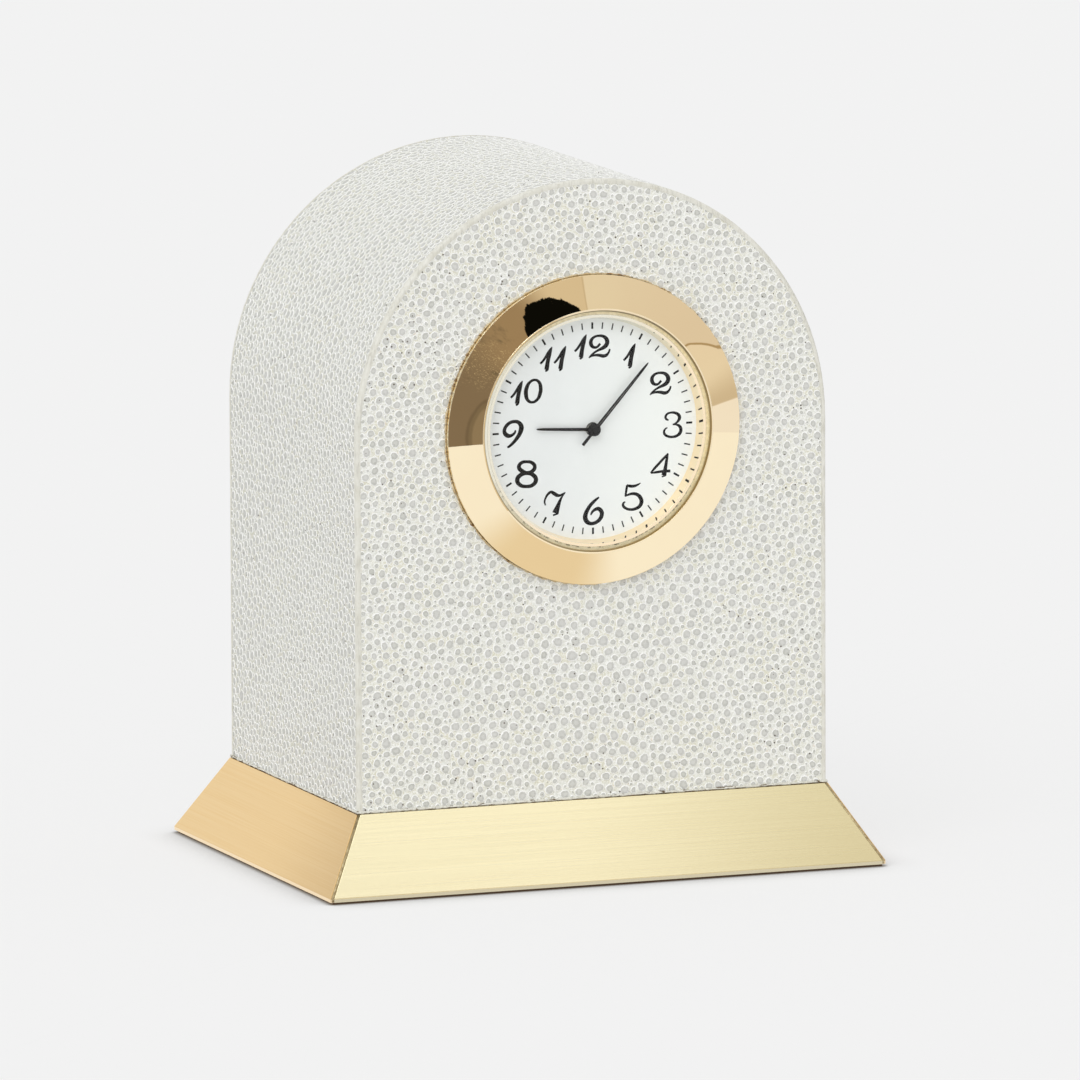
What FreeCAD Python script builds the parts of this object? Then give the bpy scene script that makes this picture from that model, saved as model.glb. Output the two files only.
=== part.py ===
import FreeCAD, Part
import math
import os

# A beehive shelf clock: an arched case in pebbled leather on a flared brass plinth,
# with a round quartz insert that pulls out to the front.
# Millimetres. +Z is up, the dial faces -Y, and +X is to the right as seen from the front.
# The origin is the bottom centre of the pad that the clock stands on.
# Depths count backwards from the front face of the leather, heights from the origin, and the
# places of the movement's parts, called spots, are right and up from the centre of the dial.

# Case, outside
body_width = 82.0
body_depth = 60.5
dial_height = 74.2

# Coverings
leather_thickness = 0.8
edge_band_width = 0.8
edge_band_round = 0.45
leather_hole_clearance = 0.1

# Plinth
pad_thickness = 0.7
pad_inset = 0.5
plinth_height = 12.7
plinth_flare = 7.3
plinth_proud = 0.2
sheet_thickness = 0.6
mitre_seam = 0.1

# Wooden core
front_board_thickness = 12.0
back_board_thickness = 9.0
frame_wall = 9.0
dowel_radius = 2.0
dowel_length = 12.0
dowel_end_gap = 0.3
lowest_dowel_height = 30.0
crown_dowel_angle = 52.0
wood_screw_radius = 1.75
wood_screw_bite = 6.5
wood_screw_head_radius = 3.5
wood_screw_head_height = 2.2
wood_screw_spacing = 50.0

# Bezel. Its radius is that of a standard two inch insert, and the bore follows from it.
bezel_radius = 25.4
bezel_overlap = 2.9
bezel_seat_gap = 0.1
bezel_side_height = 0.9
bezel_edge_round = 0.15
bezel_height = 2.9
bezel_flank_run = 5.34
rim_width = 0.25
skirt_clearance = 0.6
skirt_wall = 1.0
skirt_length = 3.0

# Crystal, its gasket and the inner ring
gasket_wall = 0.26
crystal_thickness = 1.1
crystal_drop = 0.3
crystal_bevel = 0.25
ledge_width = 0.65
inner_ring_foot = 0.8
inner_ring_lip = 0.45
inner_ring_clearance = 0.05

# Dial
dial_edge_gap = 0.45
dial_thickness = 0.4
dial_hole_clearance = 0.35
dial_foot_radius = 0.4
dial_foot_length = 1.0
dial_foot_share = 0.76

# Case cup, grip ring and back cover
cup_wall = 1.3
cup_floor = 1.2
cup_thread_clearance = 0.05
grip_gap = 1.0
grip_width = 5.0
grip_rib_height = 0.45
grip_rib_count = 4
grip_clearance = 0.06
cover_thickness = 1.0
cover_spigot_depth = 0.8
cover_spigot_wall = 0.5
cover_gap = 0.12
cover_edge_gap = 0.5
cover_knob_gap = 1.3

# Movement plates
plate_clearance = 0.35
front_plate_thickness = 1.5
bridge_thickness = 1.2
bridge_gap = 0.3
pillar_radius = 1.3
plate_screw_radius = 0.6
plate_screw_head_radius = 1.3
plate_screw_head_height = 0.8
plate_screw_length = 3.5
running_gap = 0.05
end_play = 0.1

# Each pillar's distance from the centre as a share of the plates' radius, and its angle
pillar_place_shares = ((0.73, -15.0), (0.6, 168.0), (0.82, 44.0))

# Teeth
pressure_angle = 25.0
wheel_addendum_share = 0.5
pinion_addendum_share = 0.85
tip_gap_share = 0.3
backlash_share = 0.12

# Hands and motion work. The hour wheel's module follows from the shared centre distance.
cannon_teeth = 12
minute_wheel_teeth = 36
minute_pinion_teeth = 10
hour_wheel_teeth = 40
setting_teeth = 12
motion_module = 0.25
motion_wheel_thickness = 0.8
motion_wheel_gap = 0.3
minute_wheel_angle = 0.0
setting_angle = 50.0
stud_radius = 0.6
centre_arbor_radius = 0.5
hour_pipe_wall = 0.25

# Going train
centre_teeth = 72
third_pinion_teeth = 8
third_wheel_teeth = 60
rotor_pinion_teeth = 6
centre_module = 0.22
third_module = 0.16
train_wheel_thickness = 0.6
train_wheel_gap = 0.5
centre_wheel_lift = 1.1
pinion_overlap = 0.15
third_angle = 100.0
rotor_angle = 190.0
third_arbor_radius = 0.45
pivot_radius = 0.25
centre_pivot_radius = 0.35

# Stepping motor
magnet_radius = 1.6
magnet_length = 1.6
magnet_gap = 0.3
stator_thickness = 0.6
stator_spine_width = 4.0
stator_arm_width = 2.4
stator_hole_clearance = 0.45
coil_plate_gap = 0.2
core_width = 1.4
core_thickness = 0.6
bobbin_radius = 1.1
bobbin_flange_radius = 2.1
bobbin_flange_thickness = 0.5
winding_drop = 0.2
coil_screw_radius = 0.5
coil_screw_head_radius = 1.0
coil_screw_head_height = 0.6
coil_screw_length = 2.6

# The arms of the stator and the height of the coil, as shares of the plates' radius
stator_left_share = -0.52
stator_right_share = 0.3125
coil_height_share = 0.755

# Circuit board, quartz can, cell and contacts
board_wheel_gap = 1.28
board_cup_gap = 0.95
board_start_angle = 178.0
board_end_angle = 234.0
board_thickness = 0.8
board_lift = 2.8
board_post_radius = 1.0
board_pin_radius = 0.6
board_post_turn = 9.0
chip_radius = 2.0
chip_height = 0.8
quartz_can_radius = 0.95
quartz_can_length = 6.0
cell_radius = 5.8
cell_thickness = 5.4
cell_cap_radius = 4.9
cell_cap_height = 0.55
cell_rim_gap = 0.4
cell_end_gap = 0.1
well_wall = 0.8
well_clearance = 0.2
well_ledge_width = 0.7
well_rim_below_cover = 1.9
contact_thickness = 0.25
contact_width = 2.2
contact_rise = 2.9
contact_tongue = 0.3

# Setting stem and knob
stem_radius = 0.9
knob_radius = 2.8
knob_length = 3.6
knob_flutes = 12
knob_flute_radius = 0.45
knob_drop = 1.3

# Hands, at the time that the clock shows
hour_hand_clock_angle = 273.6
minute_hand_clock_angle = 43.5
hand_thickness = 0.15
hand_hub_wall = 0.23
hour_hand_lift = 0.5
hand_gap = 0.35
crystal_hand_gap = 0.13
hour_hand_length = 10.0
hour_hand_root_width = 0.5
hour_hand_tip_width = 0.16
hour_point_share = 0.9
minute_hand_length = 14.0
minute_hand_tail = 3.2
minute_hand_root_width = 0.4
minute_hand_belly_width = 0.62
minute_hand_tip_width = 0.2
minute_belly_share = 0.42
minute_tail_width = 0.5
hand_cap_height = 0.12

# One overrun serves every cut that has to pass through a face
overrun = 1.0

# Worked out from the sizes above: the case
front_y = -body_depth / 2
case_bottom = pad_thickness + plinth_height
core_half_width = body_width / 2 - leather_thickness
core_front = leather_thickness
core_back = body_depth - leather_thickness
frame_front = core_front + front_board_thickness
frame_back = core_back - back_board_thickness
plinth_top_x = body_width / 2 + plinth_proud
plinth_top_y = body_depth / 2 + plinth_proud
plinth_bottom_x = plinth_top_x + plinth_flare
plinth_bottom_y = plinth_top_y + plinth_flare
slope_length = math.hypot(plinth_height, plinth_flare)
sheet_run = sheet_thickness * slope_length / plinth_height

# Radii of the insert, from the bezel inwards
insert_bore_radius = bezel_radius - bezel_overlap
skirt_radius = insert_bore_radius - skirt_clearance
cup_radius = skirt_radius - skirt_wall - cup_thread_clearance
cup_inner_radius = cup_radius - cup_wall
plate_radius = cup_inner_radius - plate_clearance
dial_radius = cup_radius - dial_edge_gap
dial_foot_place = dial_radius * dial_foot_share
rim_outer_radius = bezel_radius - bezel_flank_run
rim_radius = rim_outer_radius - rim_width
crystal_radius = rim_radius - gasket_wall
ledge_radius = crystal_radius - ledge_width
ring_outer_radius = ledge_radius - inner_ring_clearance
hour_pipe_bore = centre_arbor_radius + running_gap
hour_pipe_radius = hour_pipe_bore + hour_pipe_wall
hand_hub_radius = hour_pipe_radius + hand_hub_wall

# Distances between arbors
hour_module = motion_module * (cannon_teeth + minute_wheel_teeth) / (minute_pinion_teeth + hour_wheel_teeth)
motion_distance = motion_module * (cannon_teeth + minute_wheel_teeth) / 2
setting_distance = motion_module * (setting_teeth + minute_wheel_teeth) / 2
third_distance = centre_module * (centre_teeth + third_pinion_teeth) / 2
rotor_distance = third_module * (third_wheel_teeth + rotor_pinion_teeth) / 2

# Depths, from the rim of the bezel backwards
rim_depth = -bezel_height
crystal_front = rim_depth + crystal_drop
crystal_back = crystal_front + crystal_thickness
minute_hand_front = crystal_back + crystal_hand_gap + hand_cap_height
hour_hand_front = minute_hand_front + hand_thickness + hand_gap
dial_depth = hour_hand_front + hand_thickness + hour_hand_lift
dial_back = dial_depth + dial_thickness
cup_front = dial_back
plate_front = cup_front + cup_floor
plate_back = plate_front + front_plate_thickness
hour_wheel_front = plate_back + motion_wheel_gap
hour_wheel_back = hour_wheel_front + motion_wheel_thickness
minute_wheel_front = hour_wheel_back + motion_wheel_gap
minute_wheel_back = minute_wheel_front + motion_wheel_thickness
centre_wheel_front = minute_wheel_back + centre_wheel_lift
centre_wheel_back = centre_wheel_front + train_wheel_thickness
third_wheel_front = centre_wheel_back + train_wheel_gap
third_wheel_back = third_wheel_front + train_wheel_thickness
stator_front = plate_back + coil_plate_gap + bobbin_flange_radius - core_thickness / 2 - stator_thickness
stator_back = stator_front + stator_thickness
board_front = plate_back + board_lift
board_back = board_front + board_thickness
quartz_can_back = board_back + 2 * quartz_can_radius
bridge_front = max(third_wheel_back + pinion_overlap, quartz_can_back) + bridge_gap
bridge_back = bridge_front + bridge_thickness
contact_front = board_back
contact_back = contact_front + contact_thickness
cell_cap_front = contact_back + contact_tongue
cell_front = cell_cap_front + cell_cap_height
cell_back = cell_front + cell_thickness
cup_back = cell_back + cell_end_gap + cover_spigot_depth

# Places of the fixed parts on the plates
stator_left = plate_radius * stator_left_share
stator_right = plate_radius * stator_right_share
coil_height = plate_radius * coil_height_share
board_inner_radius = centre_module * centre_teeth / 2 + board_wheel_gap
board_outer_radius = cup_inner_radius - board_cup_gap
board_middle_radius = (board_inner_radius + board_outer_radius) / 2
board_middle_angle = (board_start_angle + board_end_angle) / 2
cell_place = cell_radius + cell_rim_gap - plate_radius


def vec(x, y, z):
    return FreeCAD.Vector(x, y, z)


def polar(start, distance, angle):
    """The spot that lies a distance away from another, at an angle in degrees from +X towards +Z."""
    turn = math.radians(angle)
    return (start[0] + distance * math.cos(turn), start[1] + distance * math.sin(turn))


def place(x, depth, height):
    """The point at a spot of the dial and a depth behind the front face."""
    return vec(x, front_y + depth, dial_height + height)


def rod(radius, front, back, spot=(0, 0)):
    """A round bar along the clock's depth."""
    return Part.makeCylinder(radius, back - front, place(spot[0], front, spot[1]), vec(0, 1, 0))


def hole(radius, front, back, spot=(0, 0)):
    """A cutter along the clock's depth, long enough to pass through the faces at both depths."""
    return rod(radius, front - overrun, back + overrun, spot)


def tube(outer, inner, front, back, spot=(0, 0)):
    """A ring or sleeve along the clock's depth."""
    return rod(outer, front, back, spot).cut(hole(inner, front, back, spot))


def block(low, high, front, back):
    """A bar with a rectangular outline between two spots."""
    corner = place(low[0], front, low[1])
    return Part.makeBox(high[0] - low[0], back - front, high[1] - low[1], corner)


def plate(points, front, back):
    """A flat piece with a straight-edged outline of spots."""
    outline = [place(x, front, height) for x, height in points]
    face = Part.Face(Part.makePolygon(outline + [outline[0]]))
    return face.extrude(vec(0, back - front, 0))


def turned(profile, spot=(0, 0)):
    """A piece turned on a lathe, from a closed profile of radius and depth pairs."""
    outline = [place(spot[0] + radius, depth, spot[1]) for radius, depth in profile]
    face = Part.Face(Part.makePolygon(outline + [outline[0]]))
    solid = face.revolve(place(spot[0], 0, spot[1]), vec(0, 1, 0), 360)
    return solid if solid.Volume > 0 else solid.reversed()


def box_about_origin(half_x, half_y, low, high):
    return Part.makeBox(2 * half_x, 2 * half_y, high - low, vec(-half_x, -half_y, low))


# The case

def arch(half_width, bottom, front, back):
    """The beehive shape: two upright sides under a half round top, along the clock's depth."""
    y = front_y + front
    left_foot = vec(-half_width, y, bottom)
    right_foot = vec(half_width, y, bottom)
    right_spring = vec(half_width, y, dial_height)
    crown = vec(0, y, dial_height + half_width)
    left_spring = vec(-half_width, y, dial_height)
    edges = [
        Part.LineSegment(left_foot, right_foot),
        Part.LineSegment(right_foot, right_spring),
        Part.Arc(right_spring, crown, left_spring),
        Part.LineSegment(left_spring, left_foot),
    ]
    face = Part.Face(Part.Wire([edge.toShape() for edge in edges]))
    return face.extrude(vec(0, back - front, 0))


def arch_strip(half_width, thickness, front, back):
    """A strip bent over the arch and down both sides, open at the foot."""
    inside = arch(half_width - thickness, case_bottom - overrun, front - overrun, back + overrun)
    return arch(half_width, case_bottom, front, back).cut(inside)


def frustum(low_x, low_y, high_x, high_y, low, high):
    """A four-sided block whose sides lean inwards."""
    rings = []
    for half_x, half_y, height in ((low_x, low_y, low), (high_x, high_y, high)):
        corners = [
            vec(-half_x, -half_y, height),
            vec(half_x, -half_y, height),
            vec(half_x, half_y, height),
            vec(-half_x, half_y, height),
        ]
        rings.append(Part.makePolygon(corners + [corners[0]]))
    return Part.makeLoft(rings, True, True)


def insert_bore(front, back, clearance=0):
    return hole(insert_bore_radius + clearance, front, back)


def base_pad():
    """The dark suede pad that the clock stands on, set in a little from the brass."""
    return box_about_origin(plinth_bottom_x - pad_inset, plinth_bottom_y - pad_inset, 0, pad_thickness)


def wood_screw_spots():
    return [(-wood_screw_spacing / 2, 0), (wood_screw_spacing / 2, 0)]


def wood_screw(x, y):
    """A countersunk screw that points up from under the plinth."""
    head = Part.makeCone(
        wood_screw_head_radius,
        wood_screw_radius,
        wood_screw_head_height,
        vec(x, y, pad_thickness),
    )
    shank_length = plinth_height + wood_screw_bite - wood_screw_head_height
    shank_foot = vec(x, y, pad_thickness + wood_screw_head_height)
    shank = Part.makeCylinder(wood_screw_radius, shank_length, shank_foot)
    return head.fuse(shank)


def wood_screws():
    return [wood_screw(x, y) for x, y in wood_screw_spots()]


def cut_each(shape, tools):
    for tool in tools:
        shape = shape.cut(tool)
    return shape


def plinth_block(inset):
    """The plinth's shape, set in on all four sides."""
    return frustum(
        plinth_bottom_x - inset,
        plinth_bottom_y - inset,
        plinth_top_x - inset,
        plinth_top_y - inset,
        pad_thickness,
        case_bottom,
    )


def plinth_core():
    """The wooden block under the brass."""
    return cut_each(plinth_block(sheet_run), wood_screws())


def brass_shell():
    return plinth_block(0).cut(plinth_block(sheet_run))


def mitre_wedge(direction_x, direction_y):
    """The upright wedge that cuts one side's plate from the shell, with half a seam left at each mitre."""
    reach = plinth_bottom_x + plinth_bottom_y
    apex = plinth_top_x - plinth_top_y if direction_x else plinth_top_y - plinth_top_x
    apex = apex + mitre_seam / math.sqrt(2)
    far = apex + reach
    if direction_x:
        corners = [(direction_x * apex, 0), (direction_x * far, reach), (direction_x * far, -reach)]
    else:
        corners = [(0, direction_y * apex), (reach, direction_y * far), (-reach, direction_y * far)]
    outline = [vec(x, y, 0) for x, y in corners]
    face = Part.Face(Part.makePolygon(outline + [outline[0]]))
    return face.extrude(vec(0, 0, case_bottom + overrun))


def base_plates():
    """The four brass plates of the plinth, mitred at its corners."""
    shell = brass_shell()
    sides = {
        "base_plate_front": (0, -1),
        "base_plate_back": (0, 1),
        "base_plate_left": (-1, 0),
        "base_plate_right": (1, 0),
    }
    return {name: shell.common(mitre_wedge(*side)) for name, side in sides.items()}


def dowel_spots():
    """Pairs of spots, right and left, along the middle of the frame's wall."""
    reach = core_half_width - frame_wall / 2
    low = lowest_dowel_height - dial_height
    spots = [(-reach, low), (reach, low)]
    spots += [polar((0, 0), reach, crown_dowel_angle), polar((0, 0), reach, 180 - crown_dowel_angle)]
    return spots


def dowels(extra=0):
    """The glued dowels between the frame and its two boards, each half in the frame."""
    pins = []
    for joint in (frame_front, frame_back):
        for spot in dowel_spots():
            front = joint - dowel_length / 2 - extra
            back = joint + dowel_length / 2 + extra
            pins.append(rod(dowel_radius, front, back, spot))
    return pins


def core_front_board():
    """The wooden front board, bored for the insert."""
    board = arch(core_half_width, case_bottom, core_front, frame_front)
    return cut_each(board, [insert_bore(core_front, frame_front)] + dowels(dowel_end_gap))


def core_back_board():
    board = arch(core_half_width, case_bottom, frame_back, core_back)
    return cut_each(board, dowels(dowel_end_gap))


def core_frame():
    """The hollow wooden frame between the boards, with a floor that the plinth's screws hold."""
    outer = arch(core_half_width, case_bottom, frame_front, frame_back)
    inner = arch(
        core_half_width - frame_wall,
        case_bottom + frame_wall,
        frame_front - overrun,
        frame_back + overrun,
    )
    return cut_each(outer.cut(inner), dowels(dowel_end_gap) + wood_screws())


def face_leather(front):
    """The flat piece of leather on the front or the back, inside the edge band."""
    return arch(body_width / 2 - edge_band_width, case_bottom, front, front + leather_thickness)


def front_leather():
    return face_leather(0).cut(insert_bore(0, leather_thickness, leather_hole_clearance))


def back_leather():
    return face_leather(body_depth - leather_thickness)


def wrap_leather():
    """The leather wrapped over both sides and the round top."""
    return arch_strip(body_width / 2, leather_thickness, leather_thickness, body_depth - leather_thickness)


def edge_band(front, outer_face):
    """The smooth strip along an edge of the case, rounded on its outer corner."""
    strip = arch_strip(body_width / 2, edge_band_width, front, front + leather_thickness)
    near = edge_band_width / 2
    corner = []
    for edge in strip.Edges:
        box = edge.BoundBox
        on_face = max(abs(box.YMin - outer_face), abs(box.YMax - outer_face)) < near
        outside = max(abs(box.XMin), abs(box.XMax)) > body_width / 2 - near
        if on_face and outside and box.ZLength > edge_band_width * 2:
            corner.append(edge)
    return strip.makeFillet(edge_band_round, corner)


# The insert

def bezel():
    """The polished ring: an upright side, a straight flank up to a narrow rim, and a skirt behind."""
    return turned([
        (bezel_radius, -bezel_seat_gap),
        (bezel_radius, bezel_edge_round - bezel_seat_gap - bezel_side_height),
        (bezel_radius - bezel_edge_round, -bezel_seat_gap - bezel_side_height),
        (rim_outer_radius, rim_depth),
        (rim_radius, rim_depth),
        (rim_radius, crystal_back),
        (ledge_radius, crystal_back),
        (ledge_radius, dial_depth),
        (cup_radius + cup_thread_clearance, dial_depth),
        (cup_radius + cup_thread_clearance, skirt_length),
        (skirt_radius, skirt_length),
        (skirt_radius, -bezel_seat_gap),
    ])


def crystal():
    """The flat glass with a ground bevel round its front."""
    return turned([
        (0, crystal_front),
        (crystal_radius - crystal_bevel, crystal_front),
        (crystal_radius, crystal_front + crystal_bevel),
        (crystal_radius, crystal_back),
        (0, crystal_back),
    ])


def crystal_gasket():
    return tube(rim_radius, crystal_radius, crystal_front + crystal_bevel, crystal_back)


def inner_ring():
    """The polished ring between the dial and the crystal, wider towards the front."""
    return turned([
        (ring_outer_radius - inner_ring_foot, dial_depth),
        (ring_outer_radius, dial_depth),
        (ring_outer_radius, crystal_back),
        (ring_outer_radius - inner_ring_lip, crystal_back),
    ])


def dial():
    disc = rod(dial_radius, dial_depth, dial_back)
    for side in (-1, 1):
        foot = rod(dial_foot_radius, dial_back, dial_back + dial_foot_length, (side * dial_foot_place, 0))
        disc = disc.fuse(foot)
    return disc.cut(hole(hour_pipe_radius + dial_hole_clearance, dial_depth, dial_back))


def case_cup():
    """The plastic cup that holds the movement. Its floor carries the dial."""
    cup = rod(cup_radius, cup_front, cup_back)
    cup = cup.cut(rod(cup_inner_radius, plate_front, cup_back + overrun))
    cup = cup.cut(hole(hour_pipe_radius + dial_hole_clearance, cup_front, plate_front))
    return cut_each(cup, dial_foot_holes(cup_front))


def dial_foot_holes(front):
    """Blind holes for the dial's two feet, from a depth backwards."""
    back = dial_back + dial_foot_length + running_gap
    radius = dial_foot_radius + running_gap
    return [rod(radius, front - overrun, back, (side * dial_foot_place, 0)) for side in (-1, 1)]


def grip_ring():
    """The ribbed rubber ring round the cup that holds the insert in its bore."""
    rib_top = insert_bore_radius - grip_clearance
    valley = rib_top - grip_rib_height
    grip_start = skirt_length + grip_gap
    pitch = grip_width / grip_rib_count
    profile = [(cup_radius, grip_start)]
    for rib in range(grip_rib_count):
        start = grip_start + rib * pitch
        profile.append((valley, start))
        profile.append((rib_top, start + pitch / 2))
    profile.append((valley, grip_start + grip_width))
    profile.append((cup_radius, grip_start + grip_width))
    return turned(profile)


def back_cover():
    """The plastic cover that snaps on behind, with a hole for the setting knob."""
    cover = rod(cup_radius - cover_edge_gap, cup_back + cover_gap, cup_back + cover_gap + cover_thickness)
    spigot_radius = cup_inner_radius - cover_gap
    spigot_front = cup_back - cover_spigot_depth
    spigot = tube(spigot_radius, spigot_radius - cover_spigot_wall, spigot_front, cup_back + cover_gap)
    knob_hole = hole(knob_radius + cover_knob_gap, cup_back, cup_back + cover_thickness, setting_spot)
    return cover.fuse(spigot).cut(knob_hole)


# Gears

def involute(angle):
    return math.tan(angle) - angle


def ring_point(spot, radius, angle, depth):
    """A point round a spot, with its angle in radians from +X towards +Z."""
    return place(spot[0] + radius * math.cos(angle), depth, spot[1] + radius * math.sin(angle))


def gear(teeth, module, addendum_share, mate_share, tooth_angle, front, back, spot):
    """A spur gear with one tooth centred on tooth_angle. mate_share is its mate's addendum."""
    pitch_radius = teeth * module / 2
    pressure = math.radians(pressure_angle)
    base_radius = pitch_radius * math.cos(pressure)
    tip_radius = pitch_radius + addendum_share * module
    root_radius = pitch_radius - (mate_share + tip_gap_share) * module
    flank_start = max(base_radius, root_radius)
    flank_middle = (flank_start + tip_radius) / 2
    pitch_half = math.pi / (2 * teeth) - backlash_share * module / pitch_radius / 2

    def half_angle(radius):
        return pitch_half + involute(pressure) - involute(math.acos(min(1, base_radius / radius)))

    radii = {"root": root_radius, "start": flank_start, "middle": flank_middle, "tip": tip_radius}
    edges = []
    step = 2 * math.pi / teeth
    for tooth in range(teeth):
        middle = math.radians(tooth_angle) + tooth * step
        spots = {}
        for side in (-1, 1):
            for name, radius in radii.items():
                angle = middle + side * half_angle(max(radius, flank_start))
                spots[name, side] = ring_point(spot, radius, angle, front)
        crest = ring_point(spot, tip_radius, middle, front)
        next_root = ring_point(spot, root_radius, middle + step - half_angle(flank_start), front)
        valley = ring_point(spot, root_radius, middle + step / 2, front)
        if root_radius < base_radius:
            edges.append(Part.LineSegment(spots["root", -1], spots["start", -1]))
        edges.append(Part.Arc(spots["start", -1], spots["middle", -1], spots["tip", -1]))
        edges.append(Part.Arc(spots["tip", -1], crest, spots["tip", 1]))
        edges.append(Part.Arc(spots["tip", 1], spots["middle", 1], spots["start", 1]))
        if root_radius < base_radius:
            edges.append(Part.LineSegment(spots["start", 1], spots["root", 1]))
        edges.append(Part.Arc(spots["root", 1], valley, next_root))
    face = Part.Face(Part.Wire([edge.toShape() for edge in edges]))
    return face.extrude(vec(0, back - front, 0))


def wheel(teeth, module, tooth_angle, front, back, spot):
    return gear(teeth, module, wheel_addendum_share, pinion_addendum_share, tooth_angle, front, back, spot)


def pinion(teeth, module, tooth_angle, front, back, spot):
    return gear(teeth, module, pinion_addendum_share, wheel_addendum_share, tooth_angle, front, back, spot)


centre_spot = (0, 0)
minute_spot = polar(centre_spot, motion_distance, minute_wheel_angle)
setting_spot = polar(minute_spot, setting_distance, setting_angle)
third_spot = polar(centre_spot, third_distance, third_angle)
rotor_spot = polar(third_spot, rotor_distance, rotor_angle)
cell_spot = (0, cell_place)
half_cannon_step = 180 / minute_wheel_teeth
half_minute_pinion_step = 180 / minute_pinion_teeth
half_third_pinion_step = 180 / third_pinion_teeth
half_rotor_pinion_step = 180 / rotor_pinion_teeth


def pivots(spot, radius, body_front, body_back):
    """The thin ends of an arbor, in the front plate and the bridge."""
    front_end = plate_back - front_plate_thickness / 2
    back_end = bridge_front + bridge_thickness / 2
    return [rod(radius, front_end, body_front, spot), rod(radius, body_back, back_end, spot)]


def joined(pieces):
    return pieces[0].multiFuse(pieces[1:]).removeSplitter()


def centre_arbor():
    """The steel arbor that carries the minute hand in front and turns in the bridge behind."""
    body_back = bridge_front - end_play
    body = rod(centre_arbor_radius, minute_hand_front - hand_cap_height, body_back)
    pivot = rod(centre_pivot_radius, body_back, bridge_front + bridge_thickness / 2)
    return joined([body, pivot])


def cannon_pinion():
    front = minute_wheel_front - motion_wheel_gap / 2
    teeth = pinion(cannon_teeth, motion_module, minute_wheel_angle, front, minute_wheel_back, centre_spot)
    return teeth.cut(hole(centre_arbor_radius, front, minute_wheel_back))


def centre_wheel():
    front = centre_wheel_front
    back = centre_wheel_back
    teeth = wheel(centre_teeth, centre_module, third_angle, front, back, centre_spot)
    boss = rod(centre_arbor_radius * 2, minute_wheel_back, front)
    bore = hole(centre_arbor_radius, minute_wheel_back, back)
    return joined([teeth, boss]).cut(bore)


def minute_wheel():
    """The wheel and pinion that step the minute hand's turning down to the hour hand's."""
    towards_centre = minute_wheel_angle + 180
    teeth = wheel(
        minute_wheel_teeth,
        motion_module,
        towards_centre + half_cannon_step,
        minute_wheel_front,
        minute_wheel_back,
        minute_spot,
    )
    leaves = pinion(
        minute_pinion_teeth,
        hour_module,
        towards_centre + half_minute_pinion_step,
        plate_back + end_play,
        minute_wheel_front,
        minute_spot,
    )
    bore = rod(stud_radius + running_gap, plate_back, minute_wheel_back + overrun, minute_spot)
    return joined([teeth, leaves]).cut(bore)


def hour_wheel():
    """The hour wheel and the pipe that carries the hour hand, loose round the centre arbor."""
    front = hour_wheel_front
    back = hour_wheel_back
    teeth = wheel(hour_wheel_teeth, hour_module, minute_wheel_angle, front, back, centre_spot)
    pipe = rod(hour_pipe_radius, hour_hand_front, front)
    bore = hole(hour_pipe_bore, hour_hand_front, back)
    return joined([teeth, pipe]).cut(bore)


def third_wheel():
    """Wheel, pinion and pivots in one moulding, between the centre wheel and the rotor."""
    leaves_front = centre_wheel_front - pinion_overlap
    leaves = pinion(
        third_pinion_teeth,
        centre_module,
        third_angle + 180 + half_third_pinion_step,
        leaves_front,
        third_wheel_front,
        third_spot,
    )
    wheel_back = third_wheel_back
    teeth = wheel(third_wheel_teeth, third_module, rotor_angle, third_wheel_front, wheel_back, third_spot)
    body_front = plate_back + end_play
    body_back = bridge_front - end_play
    arbor = rod(third_arbor_radius, body_front, body_back, third_spot)
    return joined([teeth, leaves, arbor] + pivots(third_spot, pivot_radius, body_front, body_back))


def rotor_magnet():
    """The round magnet, level with the middle of the stator."""
    front = (stator_front + stator_back - magnet_length) / 2
    return tube(magnet_radius, pivot_radius, front, front + magnet_length, rotor_spot)


def rotor_pinion():
    """The rotor's leaves on their arbor, which runs through the magnet."""
    leaves = pinion(
        rotor_pinion_teeth,
        third_module,
        rotor_angle + 180 + half_rotor_pinion_step,
        third_wheel_front - pinion_overlap,
        third_wheel_back + pinion_overlap,
        rotor_spot,
    )
    front_end = plate_back - front_plate_thickness / 2
    back_end = bridge_front + bridge_thickness / 2
    return joined([leaves, rod(pivot_radius, front_end, back_end, rotor_spot)])


def setting_stem():
    """The stem of the setting knob, with leaves that turn the minute wheel."""
    leaves = pinion(
        setting_teeth,
        motion_module,
        setting_angle + 180,
        minute_wheel_front - pinion_overlap,
        minute_wheel_back + pinion_overlap,
        setting_spot,
    )
    knob_front = cup_back - knob_drop
    body_front = plate_back + end_play
    stem = rod(stem_radius, body_front, knob_front, setting_spot)
    pivot = rod(pivot_radius, plate_back - front_plate_thickness / 2, body_front, setting_spot)
    return joined([leaves, stem, pivot])


def setting_knob():
    """The fluted knob behind the cover's hole."""
    front = cup_back - knob_drop
    knob = rod(knob_radius, front, front + knob_length, setting_spot)
    for flute in range(knob_flutes):
        spot = polar(setting_spot, knob_radius, flute * 360 / knob_flutes)
        knob = knob.cut(hole(knob_flute_radius, front, front + knob_length, spot))
    return knob


# The movement's fixed parts

def pillar_spots():
    """Three spots clear of the wheels, as distance and angle from the centre."""
    return [polar(centre_spot, plate_radius * share, angle) for share, angle in pillar_place_shares]


def board_post_spots():
    angles = (board_start_angle + board_post_turn, board_end_angle - board_post_turn)
    return [polar(centre_spot, board_middle_radius, angle) for angle in angles]


def coil_screw_spots():
    return [(stator_left, coil_height), (stator_right, coil_height)]


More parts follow.
